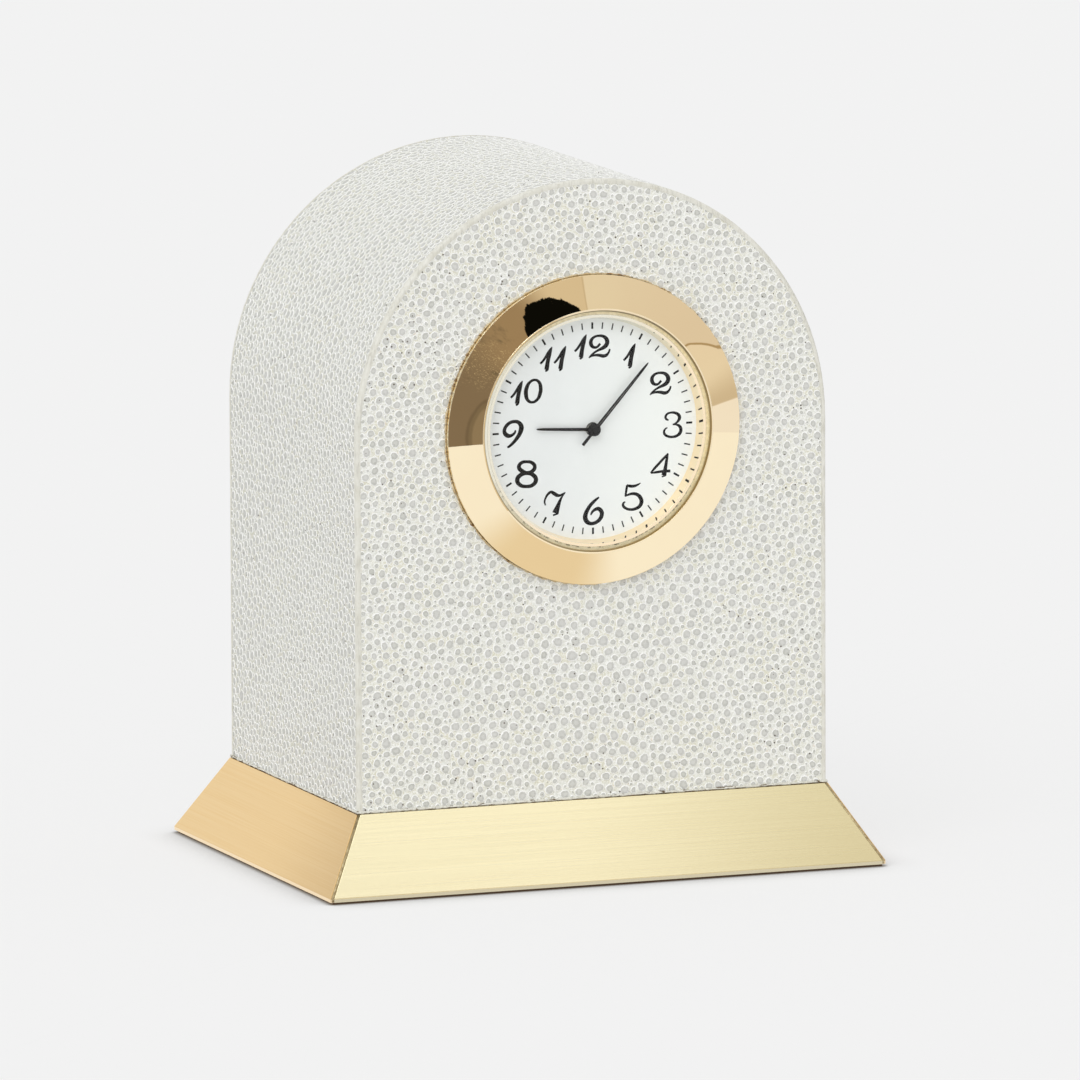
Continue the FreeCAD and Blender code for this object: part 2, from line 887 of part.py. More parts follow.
def battery_well():
    """The wall and ledge that hold the cell, open towards the circuit board."""
    inner = cell_radius + well_clearance
    wall = tube(inner + well_wall, inner, plate_back, cup_back - well_rim_below_cover, cell_spot)
    ledge = tube(inner + well_wall, inner - well_ledge_width, plate_back, cell_front, cell_spot)
    well = wall.fuse(ledge).common(rod(plate_radius, plate_front, cup_back))
    wheel_room = centre_module * centre_teeth / 2 + motion_wheel_gap * 2
    well = well.cut(rod(wheel_room, plate_back + running_gap, cup_back))
    opening_edge = cell_spot[0] - cell_radius / 2
    low = (-plate_radius, -plate_radius)
    high = (opening_edge, cell_spot[1] + cell_radius + well_wall + overrun)
    return well.cut(block(low, high, plate_back + running_gap, cup_back))


def front_plate():
    """The movement's main plate, with its pillars, posts, the minute wheel's stud and the battery well."""
    base = rod(plate_radius, plate_front, plate_back)
    pieces = [base, battery_well()]
    pieces += [rod(pillar_radius, plate_front, bridge_front, spot) for spot in pillar_spots()]
    pieces.append(rod(stud_radius, plate_front, minute_wheel_back + end_play, minute_spot))
    for spot in board_post_spots():
        pieces.append(rod(board_post_radius, plate_front, board_front, spot))
        pieces.append(rod(board_pin_radius, plate_front, board_back + contact_thickness, spot))
    pieces += [rod(pillar_radius, plate_front, stator_front, spot) for spot in coil_screw_spots()]
    body = joined(pieces)
    tools = [hole(hour_pipe_radius + running_gap, plate_front, plate_back)]
    for spot in (third_spot, rotor_spot, setting_spot):
        tools.append(hole(pivot_radius + running_gap, plate_front, plate_back, spot))
    tools += plate_screws() + coil_screws()
    return cut_each(body, tools)


def bridge_plate():
    """The rear plate that carries the back pivots, cut away round the cell."""
    body = rod(plate_radius, bridge_front, bridge_back)
    well_radius = cell_radius + well_clearance * 2 + well_wall
    tools = [hole(well_radius, bridge_front, bridge_back, cell_spot)]
    tools.append(hole(centre_pivot_radius + running_gap, bridge_front, bridge_back))
    for spot in (third_spot, rotor_spot):
        tools.append(hole(pivot_radius + running_gap, bridge_front, bridge_back, spot))
    tools.append(hole(stem_radius + running_gap, bridge_front, bridge_back, setting_spot))
    low = (-plate_radius - overrun, -plate_radius - overrun)
    tools.append(block(low, (cell_spot[0], cell_spot[1]), bridge_front - overrun, bridge_back + overrun))
    return cut_each(body, tools + plate_screws())


def machine_screw(radius, head_radius, head_height, length, seat, spot):
    """A slotless cheese-head screw whose head lies behind its seat."""
    head = rod(head_radius, seat, seat + head_height, spot)
    shank = rod(radius, seat - length, seat, spot)
    return joined([head, shank])


def plate_screws():
    return [
        machine_screw(
            plate_screw_radius,
            plate_screw_head_radius,
            plate_screw_head_height,
            plate_screw_length,
            bridge_back,
            spot,
        )
        for spot in pillar_spots()
    ]


def coil_screws():
    return [
        machine_screw(
            coil_screw_radius,
            coil_screw_head_radius,
            coil_screw_head_height,
            coil_screw_length,
            stator_back + core_thickness,
            spot,
        )
        for spot in coil_screw_spots()
    ]


def stator():
    """The steel frame of the motor: a spine with the rotor's hole, and two arms up to the coil."""
    spine_low = rotor_spot[1] - stator_spine_width / 2
    spine_high = rotor_spot[1] + stator_spine_width / 2
    left_edge = stator_left - stator_arm_width / 2
    right_edge = stator_right + stator_arm_width / 2
    top = coil_height + core_width / 2
    pieces = [block((left_edge, spine_low), (right_edge, spine_high), stator_front, stator_back)]
    for arm in (stator_left, stator_right):
        low = (arm - stator_arm_width / 2, spine_low)
        high = (arm + stator_arm_width / 2, top)
        pieces.append(block(low, high, stator_front, stator_back))
    eye_radius = magnet_radius + magnet_gap + stator_spine_width / 4
    pieces.append(rod(eye_radius, stator_front, stator_back, rotor_spot))
    body = joined(pieces)
    tools = [hole(magnet_radius + magnet_gap, stator_front, stator_back, rotor_spot)]
    arbor_hole = third_arbor_radius + stator_hole_clearance
    tools.append(hole(arbor_hole, stator_front, stator_back, third_spot))
    return cut_each(body, tools + coil_screws())


def coil_core():
    low = (stator_left - stator_arm_width / 2, coil_height - core_width / 2)
    high = (stator_right + stator_arm_width / 2, coil_height + core_width / 2)
    return cut_each(block(low, high, stator_back, stator_back + core_thickness), coil_screws())


def along_x(radius, left, right):
    """A round bar along X, round the coil's core."""
    start = place(left, stator_back + core_thickness / 2, coil_height)
    return Part.makeCylinder(radius, right - left, start, vec(1, 0, 0))


coil_left = stator_left + stator_arm_width / 2 + magnet_gap
coil_right = stator_right - stator_arm_width / 2 - magnet_gap


def coil_bobbin():
    """The plastic spool on the core."""
    spool = [along_x(bobbin_radius, coil_left, coil_right)]
    spool.append(along_x(bobbin_flange_radius, coil_left, coil_left + bobbin_flange_thickness))
    spool.append(along_x(bobbin_flange_radius, coil_right - bobbin_flange_thickness, coil_right))
    return joined(spool).cut(coil_core())


def coil_winding():
    left = coil_left + bobbin_flange_thickness
    right = coil_right - bobbin_flange_thickness
    outside = along_x(bobbin_flange_radius - winding_drop, left, right)
    return outside.cut(along_x(bobbin_radius, left - overrun, right + overrun))


def circuit_board():
    """A curved board that lies between the cell and the coil, on two posts."""
    start = math.radians(board_start_angle)
    end = math.radians(board_end_angle)
    middle = (start + end) / 2
    rings = []
    for radius, first, last in ((board_outer_radius, start, end), (board_inner_radius, end, start)):
        points = [ring_point(centre_spot, radius, angle, board_front) for angle in (first, middle, last)]
        rings.append(points)
    outer, inner = rings
    edges = [
        Part.Arc(*outer),
        Part.LineSegment(outer[-1], inner[0]),
        Part.Arc(*inner),
        Part.LineSegment(inner[-1], outer[0]),
    ]
    face = Part.Face(Part.Wire([edge.toShape() for edge in edges]))
    board = face.extrude(vec(0, board_thickness, 0))
    pin_holes = [rod(board_pin_radius, board_front, board_back, spot) for spot in board_post_spots()]
    return cut_each(board, pin_holes)


def circuit_chip():
    """The black drop that covers the chip, cut flat."""
    spot = polar(centre_spot, board_middle_radius - chip_radius, board_middle_angle)
    return rod(chip_radius, board_back, board_back + chip_height, spot)


def quartz_can():
    """The small steel can of the quartz, lying on the board."""
    spot = polar(centre_spot, board_outer_radius - chip_radius, board_middle_angle)
    across = math.radians(board_middle_angle + 90)
    direction = vec(math.cos(across), 0, math.sin(across))
    start = place(spot[0], board_back + quartz_can_radius, spot[1]) - direction * (quartz_can_length / 2)
    return Part.makeCylinder(quartz_can_radius, quartz_can_length, start, direction)


def button_cell():
    """A standard button cell, its smaller face to the front."""
    return joined([
        rod(cell_radius, cell_front, cell_back, cell_spot),
        rod(cell_cap_radius, cell_cap_front, cell_front, cell_spot),
    ])


def contact_strip(start, end, front, back):
    """A flat strip of spring metal between two spots."""
    run = math.hypot(end[0] - start[0], end[1] - start[1])
    side_x = -(end[1] - start[1]) / run * contact_width / 2
    side_z = (end[0] - start[0]) / run * contact_width / 2
    corners = [
        (start[0] + side_x, start[1] + side_z),
        (start[0] - side_x, start[1] - side_z),
        (end[0] - side_x, end[1] - side_z),
        (end[0] + side_x, end[1] + side_z),
    ]
    return plate(corners, front, back)


def battery_contacts():
    """Two spring strips from the board: one under the cell's cap, one up against its side."""
    end_of_board = board_end_angle - board_post_turn / 3
    under_start = polar(centre_spot, board_inner_radius + contact_width, end_of_board)
    under_end = polar(cell_spot, cell_cap_radius / 2, 180)
    under = contact_strip(under_start, under_end, contact_front, contact_back)
    tongue = rod(contact_width / 2, contact_back, cell_cap_front, under_end)
    side_start = polar(centre_spot, board_outer_radius - contact_width, end_of_board)
    side_direction = math.degrees(math.atan2(side_start[1] - cell_spot[1], side_start[0] - cell_spot[0]))
    side_end = polar(cell_spot, cell_radius + contact_thickness / 2, side_direction)
    foot = contact_strip(side_start, side_end, contact_front, contact_back)
    blade_back = contact_front + contact_rise
    ring = tube(cell_radius + contact_thickness, cell_radius, contact_front, blade_back, cell_spot)
    reach = polar(cell_spot, cell_radius * 2, side_direction)
    blade = ring.common(contact_strip(cell_spot, reach, contact_front, blade_back))
    return [joined([under, tongue]), joined([foot, blade])]


# The hands

def hand(stations, hub_bore, front, clock_angle):
    """A flat hand from pairs of distance and width, with a round hub. The clock angle is from 12."""
    outline = [(width / 2, distance) for distance, width in stations]
    outline += [(-width / 2, distance) for distance, width in reversed(stations)]
    blade = plate(outline, front, front + hand_thickness)
    hub = rod(hand_hub_radius, front, front + hand_thickness)
    body = joined([blade, hub])
    body.rotate(place(0, 0, 0), vec(0, 1, 0), clock_angle)
    return body.cut(hole(hub_bore, front, front + hand_thickness))


def hour_hand():
    stations = [
        (0, hour_hand_root_width),
        (hour_hand_length * hour_point_share, hour_hand_tip_width * 2),
        (hour_hand_length, hour_hand_tip_width / 2),
    ]
    return hand(stations, hour_pipe_radius, hour_hand_front, hour_hand_clock_angle)


def minute_hand():
    stations = [
        (-minute_hand_tail, minute_tail_width),
        (0, minute_hand_root_width),
        (minute_hand_length * minute_belly_share, minute_hand_belly_width),
        (minute_hand_length, minute_hand_tip_width),
    ]
    return hand(stations, centre_arbor_radius, minute_hand_front, minute_hand_clock_angle)


def build():
    """Every piece of the clock under its node's name. A list is a group of separate solids."""
    pieces = {
        "base_pad": base_pad(),
        "plinth_core": plinth_core(),
        "plinth_screws": wood_screws(),
        "core_front_board": core_front_board(),
        "core_frame": core_frame(),
        "core_back_board": core_back_board(),
        "core_dowels": dowels(),
        "front_leather": front_leather(),
        "wrap_leather": wrap_leather(),
        "back_leather": back_leather(),
        "front_edge_band": edge_band(0, front_y),
        "back_edge_band": edge_band(body_depth - leather_thickness, -front_y),
        "bezel": bezel(),
        "crystal": crystal(),
        "crystal_gasket": crystal_gasket(),
        "inner_ring": inner_ring(),
        "dial": dial(),
        "case_cup": case_cup(),
        "grip_ring": grip_ring(),
        "back_cover": back_cover(),
        "front_plate": front_plate(),
        "bridge_plate": bridge_plate(),
        "plate_screws": plate_screws(),
        "stator": stator(),
        "coil_core": coil_core(),
        "coil_bobbin": coil_bobbin(),
        "coil_winding": coil_winding(),
        "coil_screws": coil_screws(),
        "circuit_board": circuit_board(),
        "circuit_chip": circuit_chip(),
        "quartz_can": quartz_can(),
        "button_cell": button_cell(),
        "battery_contacts": battery_contacts(),
        "centre_arbor": centre_arbor(),
        "cannon_pinion": cannon_pinion(),
        "centre_wheel": centre_wheel(),
        "minute_wheel": minute_wheel(),
        "hour_wheel": hour_wheel(),
        "third_wheel": third_wheel(),
        "rotor_magnet": rotor_magnet(),
        "rotor_pinion": rotor_pinion(),
        "setting_stem": setting_stem(),
        "setting_knob": setting_knob(),
        "hour_hand": hour_hand(),
        "minute_hand": minute_hand(),
    }
    pieces.update(base_plates())
    return pieces


os.makedirs("parts", exist_ok=True)
for node, piece in build().items():
    shape = Part.makeCompound(piece) if isinstance(piece, list) else piece
    shape.exportStep("parts/" + node + ".step")
    state = "valid" if shape.isValid() else "not valid"
    print(node, len(shape.Solids), "solid(s)", round(shape.Volume, 2), "mm3", state)
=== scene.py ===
# %% [markdown]
# # A small arched shelf clock in pebbled leather
# The clock is an arched wooden case in pale pebbled leather. It stands on a flared brass plinth
# and carries a round quartz insert with a polished gold bezel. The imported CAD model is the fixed
# frame: every length below is read from its nodes, and every new piece sits where they are.

# %% Load the frame
import math
import random

import bmesh
import bpy
import numpy as np
from mathutils import Matrix, Vector


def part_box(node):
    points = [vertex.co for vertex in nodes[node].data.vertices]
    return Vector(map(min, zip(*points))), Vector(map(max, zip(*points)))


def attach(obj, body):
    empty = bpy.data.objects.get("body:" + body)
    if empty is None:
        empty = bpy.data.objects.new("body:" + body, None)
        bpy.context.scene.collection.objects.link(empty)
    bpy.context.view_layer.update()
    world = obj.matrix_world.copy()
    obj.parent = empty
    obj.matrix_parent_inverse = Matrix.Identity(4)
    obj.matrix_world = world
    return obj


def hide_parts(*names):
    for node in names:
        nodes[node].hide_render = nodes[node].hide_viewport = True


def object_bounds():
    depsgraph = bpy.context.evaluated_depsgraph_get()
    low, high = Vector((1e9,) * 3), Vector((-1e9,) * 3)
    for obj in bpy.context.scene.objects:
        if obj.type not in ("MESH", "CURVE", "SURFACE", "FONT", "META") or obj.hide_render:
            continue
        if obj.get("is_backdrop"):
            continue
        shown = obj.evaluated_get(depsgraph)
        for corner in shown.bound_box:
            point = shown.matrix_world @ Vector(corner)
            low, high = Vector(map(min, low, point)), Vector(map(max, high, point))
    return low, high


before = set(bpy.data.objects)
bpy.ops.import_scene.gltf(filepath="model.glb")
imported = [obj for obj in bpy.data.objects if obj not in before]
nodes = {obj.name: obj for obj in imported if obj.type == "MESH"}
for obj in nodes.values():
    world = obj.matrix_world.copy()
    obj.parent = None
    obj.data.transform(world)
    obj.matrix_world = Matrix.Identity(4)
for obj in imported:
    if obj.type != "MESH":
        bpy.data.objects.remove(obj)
cad_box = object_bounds()
MM = 0.001

# %% Main measures, in millimetres
case_low, case_high = (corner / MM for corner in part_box("wrap_leather"))
dial_low, dial_high = (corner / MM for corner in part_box("dial"))
half_width = case_high.x
arch_radius = half_width
dial_z = (dial_low.z + dial_high.z) / 2
case_bottom = case_low.z
face_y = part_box("front_leather")[0].y / MM
back_y = -face_y
case_depth = back_y - face_y
band_width = case_low.y - face_y
hole_radius = 22.6
print("case", half_width * 2, "x", case_depth, "arch centre", dial_z)
print("band", round(band_width, 2))

# %% [markdown]
# ## Pieces and finishes
# Each piece is shaped in a bmesh, then becomes an object at the origin that rides on its body.
# Each finish is a small node tree. A few helpers keep the trees readable: one adds a node and
# wires its inputs, the others make the mixes, ramps and bumps that nearly every finish uses.
# Colours are written as they look on a screen, from 0 to 255, and turned into linear light.

# %% A piece from a bmesh
def mesh_of(shape, name):
    mesh = bpy.data.meshes.new(name)
    shape.to_mesh(mesh)
    shape.free()
    mesh.polygons.foreach_set("use_smooth", [True] * len(mesh.polygons))
    return mesh


def new_object(name, data):
    made = bpy.data.objects.new(name, data)
    bpy.context.scene.collection.objects.link(made)
    return made


def make_piece(name, shape, finish, slot, body, *stands_for):
    """A piece from a bmesh or a mesh; stands_for names the CAD nodes whose place it takes."""
    mesh = mesh_of(shape, name) if isinstance(shape, bmesh.types.BMesh) else shape
    piece = new_object(name, mesh)
    mesh.materials.clear()
    mesh.materials.append(finish)
    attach(piece, body)
    if stands_for:
        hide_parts(*stands_for)
    print(name, len(mesh.polygons), "faces")
    return piece


# %% Helpers for shapes
sharp_angle = math.radians(30)


def points_of(geometry):
    return [item for item in geometry if isinstance(item, bmesh.types.BMVert)]


def face_outwards(shape):
    bmesh.ops.recalc_face_normals(shape, faces=shape.faces[:])
    return shape


def close_seams(shape, distance):
    bmesh.ops.remove_doubles(shape, verts=shape.verts[:], dist=distance)
    return face_outwards(shape)


def rotate_shape(shape, degrees, axis):
    turned_by = Matrix.Rotation(math.radians(degrees), 3, axis)
    bmesh.ops.rotate(shape, verts=shape.verts[:], cent=(0, 0, 0), matrix=turned_by)


def ease_edges(piece, width, least_angle=12):
    """Rounds the edges with a live Bevel and keeps the flats' reflections true."""
    easing = piece.modifiers.new("eased_edges", "BEVEL")
    easing.width, easing.segments = width * MM, 2
    easing.limit_method, easing.angle_limit = "ANGLE", math.radians(least_angle)
    easing.harden_normals = True


# %% Helpers for finishes
def tint(red, green, blue):
    """A colour written as it looks on a screen, in linear light."""
    share = [value / 255 for value in (red, green, blue)]
    linear = [s / 12.92 if s <= 0.04045 else ((s + 0.055) / 1.055) ** 2.4 for s in share]
    return (*linear, 1.0)


def add(tree, kind, wires=(), **settings):
    """Adds a node; wires gives each input's name or number with a value or another's output."""
    made = tree.nodes.new("ShaderNode" + kind)
    for key, value in settings.items():
        setattr(made, key, value)
    for socket, value in dict(wires).items():
        if isinstance(value, bpy.types.NodeSocket):
            tree.links.new(value, made.inputs[socket])
        else:
            made.inputs[socket].default_value = value
    return made


def new_finish(name):
    finish = bpy.data.materials.new(name)
    finish.use_nodes = True
    tree = finish.node_tree
    place = add(tree, "TexCoord").outputs["Object"]
    return finish, tree, tree.nodes["Principled BSDF"], place


def split(tree, place):
    """The x, y and z of a place, in metres."""
    return add(tree, "SeparateXYZ", {0: place}).outputs


def stretch(tree, place, x, y, z):
    return add(tree, "Mapping", {0: place, "Scale": (x, y, z)}).outputs[0]


def grain(tree, place, size, detail=3.0, rough=0.5):
    """Soft noise whose blobs are about size millimetres across."""
    wires = {"Vector": place, "Scale": 1 / (size * MM), "Detail": detail, "Roughness": rough}
    return add(tree, "TexNoise", wires).outputs[0]


def maths(tree, operation, first, second=0.0, clamp=False):
    made = add(tree, "Math", {0: first, 1: second}, operation=operation, use_clamp=clamp)
    return made.outputs[0]


def times(tree, first, second):
    return maths(tree, "MULTIPLY", first, second)


def fade(tree, value, low, high, start=0.0, end=1.0):
    """Smooth step of value from start to end between low and high."""
    wires = {0: value, 1: low, 2: high, 3: start, 4: end}
    return add(tree, "MapRange", wires, interpolation_type="SMOOTHSTEP").outputs[0]


def blend(tree, share, first, second):
    return add(tree, "Mix", {0: share, 6: first, 7: second}, data_type="RGBA").outputs[2]


def bump(tree, height, depth, under=None):
    """Relief of depth millimetres; under is the normal of a coarser relief below it."""
    wires = {"Height": height, "Distance": depth * MM, "Strength": 1.0}
    if under is not None:
        wires["Normal"] = under
    return add(tree, "Bump", wires).outputs[0]


def set_shader(tree, shader, **sockets):
    for name, value in sockets.items():
        target = shader.inputs[name.replace("_", " ")]
        if isinstance(value, bpy.types.NodeSocket):
            tree.links.new(value, target)
        else:
            target.default_value = value


# %% [markdown]
# ## The camera
# The photograph was taken from far off with a long lens, a little from the left and above. A long
# lens keeps the arch's two rims nearly parallel. The position follows from the turn, the tilt and
# the distance to a point on the middle of the case; there is no shift and no depth of field.

# %% Camera
picture_pixels = 1080
focal_pixels = 15808
turn, tilt, roll = (math.radians(angle) for angle in (20.916, 8.78, -0.226))
camera_distance = 2601.7
aim_right, aim_height = 2.25, 51.60
sensor_width = 36
towards = Vector(
    (-math.sin(turn) * math.cos(tilt), -math.cos(turn) * math.cos(tilt), math.sin(tilt))
)
level = (-towards).cross(Vector((0, 0, 1))).normalized()
upright = level.cross(-towards)
right = level * math.cos(roll) + upright * math.sin(roll)
above = upright * math.cos(roll) - level * math.sin(roll)
aim = level * aim_right + Vector((0, 0, aim_height))

camera_data = bpy.data.cameras.new("camera")
camera_data.sensor_width = sensor_width
camera_data.lens = sensor_width * focal_pixels / picture_pixels
camera_data.clip_start = 0.1
camera_data.clip_end = 60
camera = new_object("camera", camera_data)
turned_to = Matrix((right, above, towards)).transposed().to_4x4()
camera.matrix_world = Matrix.Translation((aim + towards * camera_distance) * MM) @ turned_to
bpy.context.scene.camera = camera
bpy.context.scene.view_settings.view_transform = "Standard"
print("camera", [round(v, 3) for v in camera.location], "lens", round(camera_data.lens, 1))

# %% [markdown]
# ## The studio
# The clock stands in an even, nearly shadowless white studio. The world lights it from all sides
# and one broad lamp adds a soft side to the pebbles. Seen directly, in metal or through glass, the
# world is the backdrop's own grey-white, so the background comes from its colour and not from more
# light on the clock. The floor has the same colour and keeps a faint share of the clock's real
# shadow. Near the clock, ambient occlusion darkens its glowing colour as a painted shadow, with a
# brown painted shadow line right under the edges, and in mirrors it shows a warm painted reflection.

# %% Rays that look at the backdrop
def looking_rays(tree):
    """Light Path's outputs, and 1 for a ray that looks straight, by a mirror or through glass."""
    path = add(tree, "LightPath").outputs
    straight = maths(tree, "MAXIMUM", path["Is Camera Ray"], path["Is Glossy Ray"])
    return path, maths(tree, "MAXIMUM", straight, path["Is Transmission Ray"])


# %% Floor
backdrop = tint(242, 242, 242)
floor_half = 12
contact_shadow_reach, edge_shadow_reach = 8, 1.4
even_share = 0.76
floor_finish, tree, shader, place = new_finish("studio_floor")
cloud = grain(tree, place, 400, 2)
floor_colour = blend(tree, fade(tree, cloud, 0.3, 0.7), backdrop, tint(242.6, 242.6, 242.6))
set_shader(tree, shader, Base_Color=floor_colour, Roughness=0.9, Specular_IOR_Level=0.0)
path, seen = looking_rays(tree)
x, y, _ = split(tree, place)
# Painted reflection: a warm patch of floor in front of the clock, seen only in mirrors, darkens the
# bezel's lower part.
mirrored_warm_patch = times(tree, fade(tree, x, -0.042, -0.014), fade(tree, x, 0.014, 0.040, 1.0, 0.0))
mirrored_warm_patch = times(tree, mirrored_warm_patch, fade(tree, y, -0.062, -0.050, 1.0, 0.0))
mirrored_floor = blend(tree, mirrored_warm_patch, (0.965, 0.955, 0.955, 1), (0.815, 0.705, 0.548, 1))
# Painted shadow: ambient occlusion darkens the floor's glowing colour near the clock.
nearby = add(tree, "AmbientOcclusion", {"Distance": contact_shadow_reach * MM}, samples=8).outputs["AO"]
contact = fade(tree, nearby, 0.64, 0.97, 0.48, 1.0)
floor_with_painted_shadow = blend(tree, contact, (0, 0, 0, 1), backdrop)
# Painted shadow: a brown painted shadow line right under the clock's edges.
pressed = add(tree, "AmbientOcclusion", {"Distance": edge_shadow_reach * MM}, samples=8).outputs["AO"]
painted_edge_shadow = fade(tree, pressed, 0.3, 0.92, 0.8, 0.0)
floor_with_painted_shadow = blend(tree, painted_edge_shadow, floor_with_painted_shadow, tint(84, 72, 54))
shown_floor = blend(tree, path["Is Glossy Ray"], floor_with_painted_shadow, mirrored_floor)
even = add(tree, "Emission", {"Color": shown_floor, "Strength": 1.0}).outputs[0]
lifted = fade(tree, path["Is Glossy Ray"], 0, 1, times(tree, seen, even_share), 1.0)
mixed = add(tree, "MixShader", {0: lifted, 1: shader.outputs[0], 2: even}).outputs[0]
tree.links.new(mixed, tree.nodes["Material Output"].inputs[0])
shape = bmesh.new()
bmesh.ops.create_grid(shape, x_segments=1, y_segments=1, size=floor_half)
floor = new_object("floor", mesh_of(shape, "floor"))
floor.data.materials.append(floor_finish)
floor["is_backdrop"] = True
print("floor", 2 * floor_half, "m wide")

# %% World and lamp
world_strength, mirrored_strength = 0.80, 1.04
lamp_direction = Vector((-0.42, -0.50, 0.72))
lamp_strength, lamp_spread = 0.27, 40
world = bpy.data.worlds.new("studio")
world.use_nodes = True
bpy.context.scene.world = world
tree = world.node_tree
tree.nodes.clear()
path, seen = looking_rays(tree)
lit = add(tree, "Background", {"Color": (1, 1, 1, 1), "Strength": world_strength}).outputs[0]
shown = add(tree, "Background", {"Color": backdrop, "Strength": 1.0}).outputs[0]
mixed = add(tree, "MixShader", {0: seen, 1: lit, 2: shown}).outputs[0]
mirrored = add(
    tree, "Background", {"Color": (1, 1, 1, 1), "Strength": mirrored_strength}
).outputs[0]
mixed = add(tree, "MixShader", {0: path["Is Glossy Ray"], 1: mixed, 2: mirrored}).outputs[0]
add(tree, "OutputWorld", {0: mixed})

lamp_light = bpy.data.lights.new("broad_lamp", "SUN")
lamp_light.energy = lamp_strength * math.pi
lamp_light.angle = math.radians(lamp_spread)
lamp = new_object("broad_lamp", lamp_light)
lamp.rotation_euler = lamp_direction.to_track_quat("Z", "Y").to_euler()
print("world", world_strength, "lamp", lamp_strength)

# %% [markdown]
# ## What the polished bezel mirrors
# Polished metal shows its surroundings more than itself. Round the photographed clock stood a pale
# wall on the right and dark equipment near the camera, and the bezel's upper left mirrors that
# equipment in brown and black. A curved screen in front of the clock carries those tones. Only
# mirror rays see it, so it neither blocks the camera nor takes light from the clock.

# %% Studio screen, seen only in polished metal
screen_radius, screen_height = 430, 380
screen_from, screen_sweep = -45, 135
# Degrees round the clock, from straight ahead towards the right, and heights in millimetres.
dark_panel_edge, wall_start, wall_crease = -19.8, 18.6, 51.4
table_top = 50


def studio_screen():
    finish, tree, _, place = new_finish("studio_screen")
    x, y, z = split(tree, place)
    forwards = times(tree, y, -1)
    around = times(tree, maths(tree, "ARCTAN2", x, forwards), 180 / math.pi)
    height = times(tree, z, 1 / MM)
    frayed = maths(tree, "SUBTRACT", grain(tree, place, 14, 4, 0.7), 0.5)
    ragged = times(tree, frayed, 16)

    def stripe(value, centre, width):
        off = maths(tree, "ABSOLUTE", maths(tree, "SUBTRACT", value, centre))
        return fade(tree, off, width * 0.4, width, 1.0, 0.0)

    near_left, near_right = (0.765, 0.695, 0.60, 1), (0.735, 0.652, 0.565, 1)
    far_low, far_high = (0.63, 0.54, 0.43, 1), (0.80, 0.72, 0.62, 1)
    wall = blend(tree, fade(tree, around, 20, 51), near_left, near_right)
    far_wall = blend(tree, fade(tree, height, 55, 110), far_low, far_high)
    wall = blend(tree, fade(tree, around, wall_crease - 0.2, wall_crease + 0.4), wall, far_wall)
    crease = times(tree, stripe(around, wall_crease, 0.28), 0.95)
    wall = blend(tree, crease, wall, (0.42, 0.31, 0.18, 1))
    table = (0.90, 0.87, 0.88, 1)
    wall = blend(tree, fade(tree, height, table_top - 1, table_top + 2), table, wall)
    low_brown = (0.225, 0.172, 0.122, 1)
    brown = blend(tree, fade(tree, height, 130, 235), low_brown, (0.335, 0.245, 0.155, 1))
    blotch = fade(tree, grain(tree, place, 38, 4, 0.65), 0.52, 0.72)
    blotch = times(tree, blotch, stripe(height, 180, 90))
    brown = blend(tree, blotch, brown, (0.13, 0.105, 0.075, 1))
    beyond = fade(tree, around, dark_panel_edge - 0.1, dark_panel_edge + 0.2, 1.0, 0.0)
    brown = blend(tree, times(tree, beyond, 0.35), brown, (0.36, 0.29, 0.19, 1))
    gap = times(tree, stripe(around, dark_panel_edge, 0.6), 0.35)
    brown = blend(tree, gap, brown, (0.08, 0.06, 0.04, 1))
    speckle = fade(tree, grain(tree, place, 2.2, 3, 0.8), 0.56, 0.66)
    where = times(tree, stripe(around, -14, 6), stripe(height, 175, 70))
    speckle = times(tree, speckle, where)
    brown = blend(tree, times(tree, speckle, 0.6), brown, (0.80, 0.66, 0.42, 1))
    dark_side = blend(tree, fade(tree, around, -1, 9), brown, (0.68, 0.575, 0.44, 1))
    slope = maths(tree, "ADD", times(tree, around, 4.31), 260)
    edge = maths(tree, "ADD", maths(tree, "MAXIMUM", slope, 266), ragged)
    above_edge = maths(tree, "SUBTRACT", height, edge)
    dark_side = blend(tree, fade(tree, above_edge, 0, 1.5), dark_side, (0.004, 0.004, 0.003, 1))
    rim_light = times(tree, stripe(around, wall_start - 0.1, 0.5), 0.3)
    dark_side = blend(tree, rim_light, dark_side, (0.4, 0.3, 0.2, 1))
    colour = blend(tree, fade(tree, around, wall_start - 0.2, wall_start + 0.2), dark_side, wall)
    glow = add(tree, "Emission", {"Color": colour, "Strength": 1.0}).outputs[0]
    tree.links.new(glow, tree.nodes["Material Output"].inputs[0])
    return finish


shape = bmesh.new()
foot_point = shape.verts.new((0, -screen_radius * MM, 0.5 * MM))
top_point = shape.verts.new((0, -screen_radius * MM, screen_height * MM))
shape.edges.new((foot_point, top_point))
rotate_shape(shape, screen_from, "Z")
bmesh.ops.spin(
    shape, geom=shape.verts[:] + shape.edges[:], cent=(0, 0, 0), axis=(0, 0, 1),
    angle=math.radians(screen_sweep), steps=90,
)
screen = new_object("studio_screen", mesh_of(shape, "studio_screen"))
screen.data.materials.append(studio_screen())
for rays in ("camera", "diffuse", "transmission", "volume_scatter", "shadow"):
    setattr(screen, "visible_" + rays, False)
screen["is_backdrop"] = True
print("screen", screen_sweep, "degrees,", screen_height, "mm high")

# %% [markdown]
# ## The leather's ground
# The case is covered in ray skin, whose hard pebbles are ground flat and stand a tenth of a
# millimetre above a pale ground. The CAD sheets stop at the pebbles' tops, so here each sheet is
# made again a little lower, from a few edges: a point is spun over the arch, its two feet are
# drawn down, and the outline is filled or drawn back along the depth.

# %% Outline of the arch
pebble_top = -0.01
ground_level = -0.11
sheet_back = -0.78
sheet_thick = ground_level - sheet_back


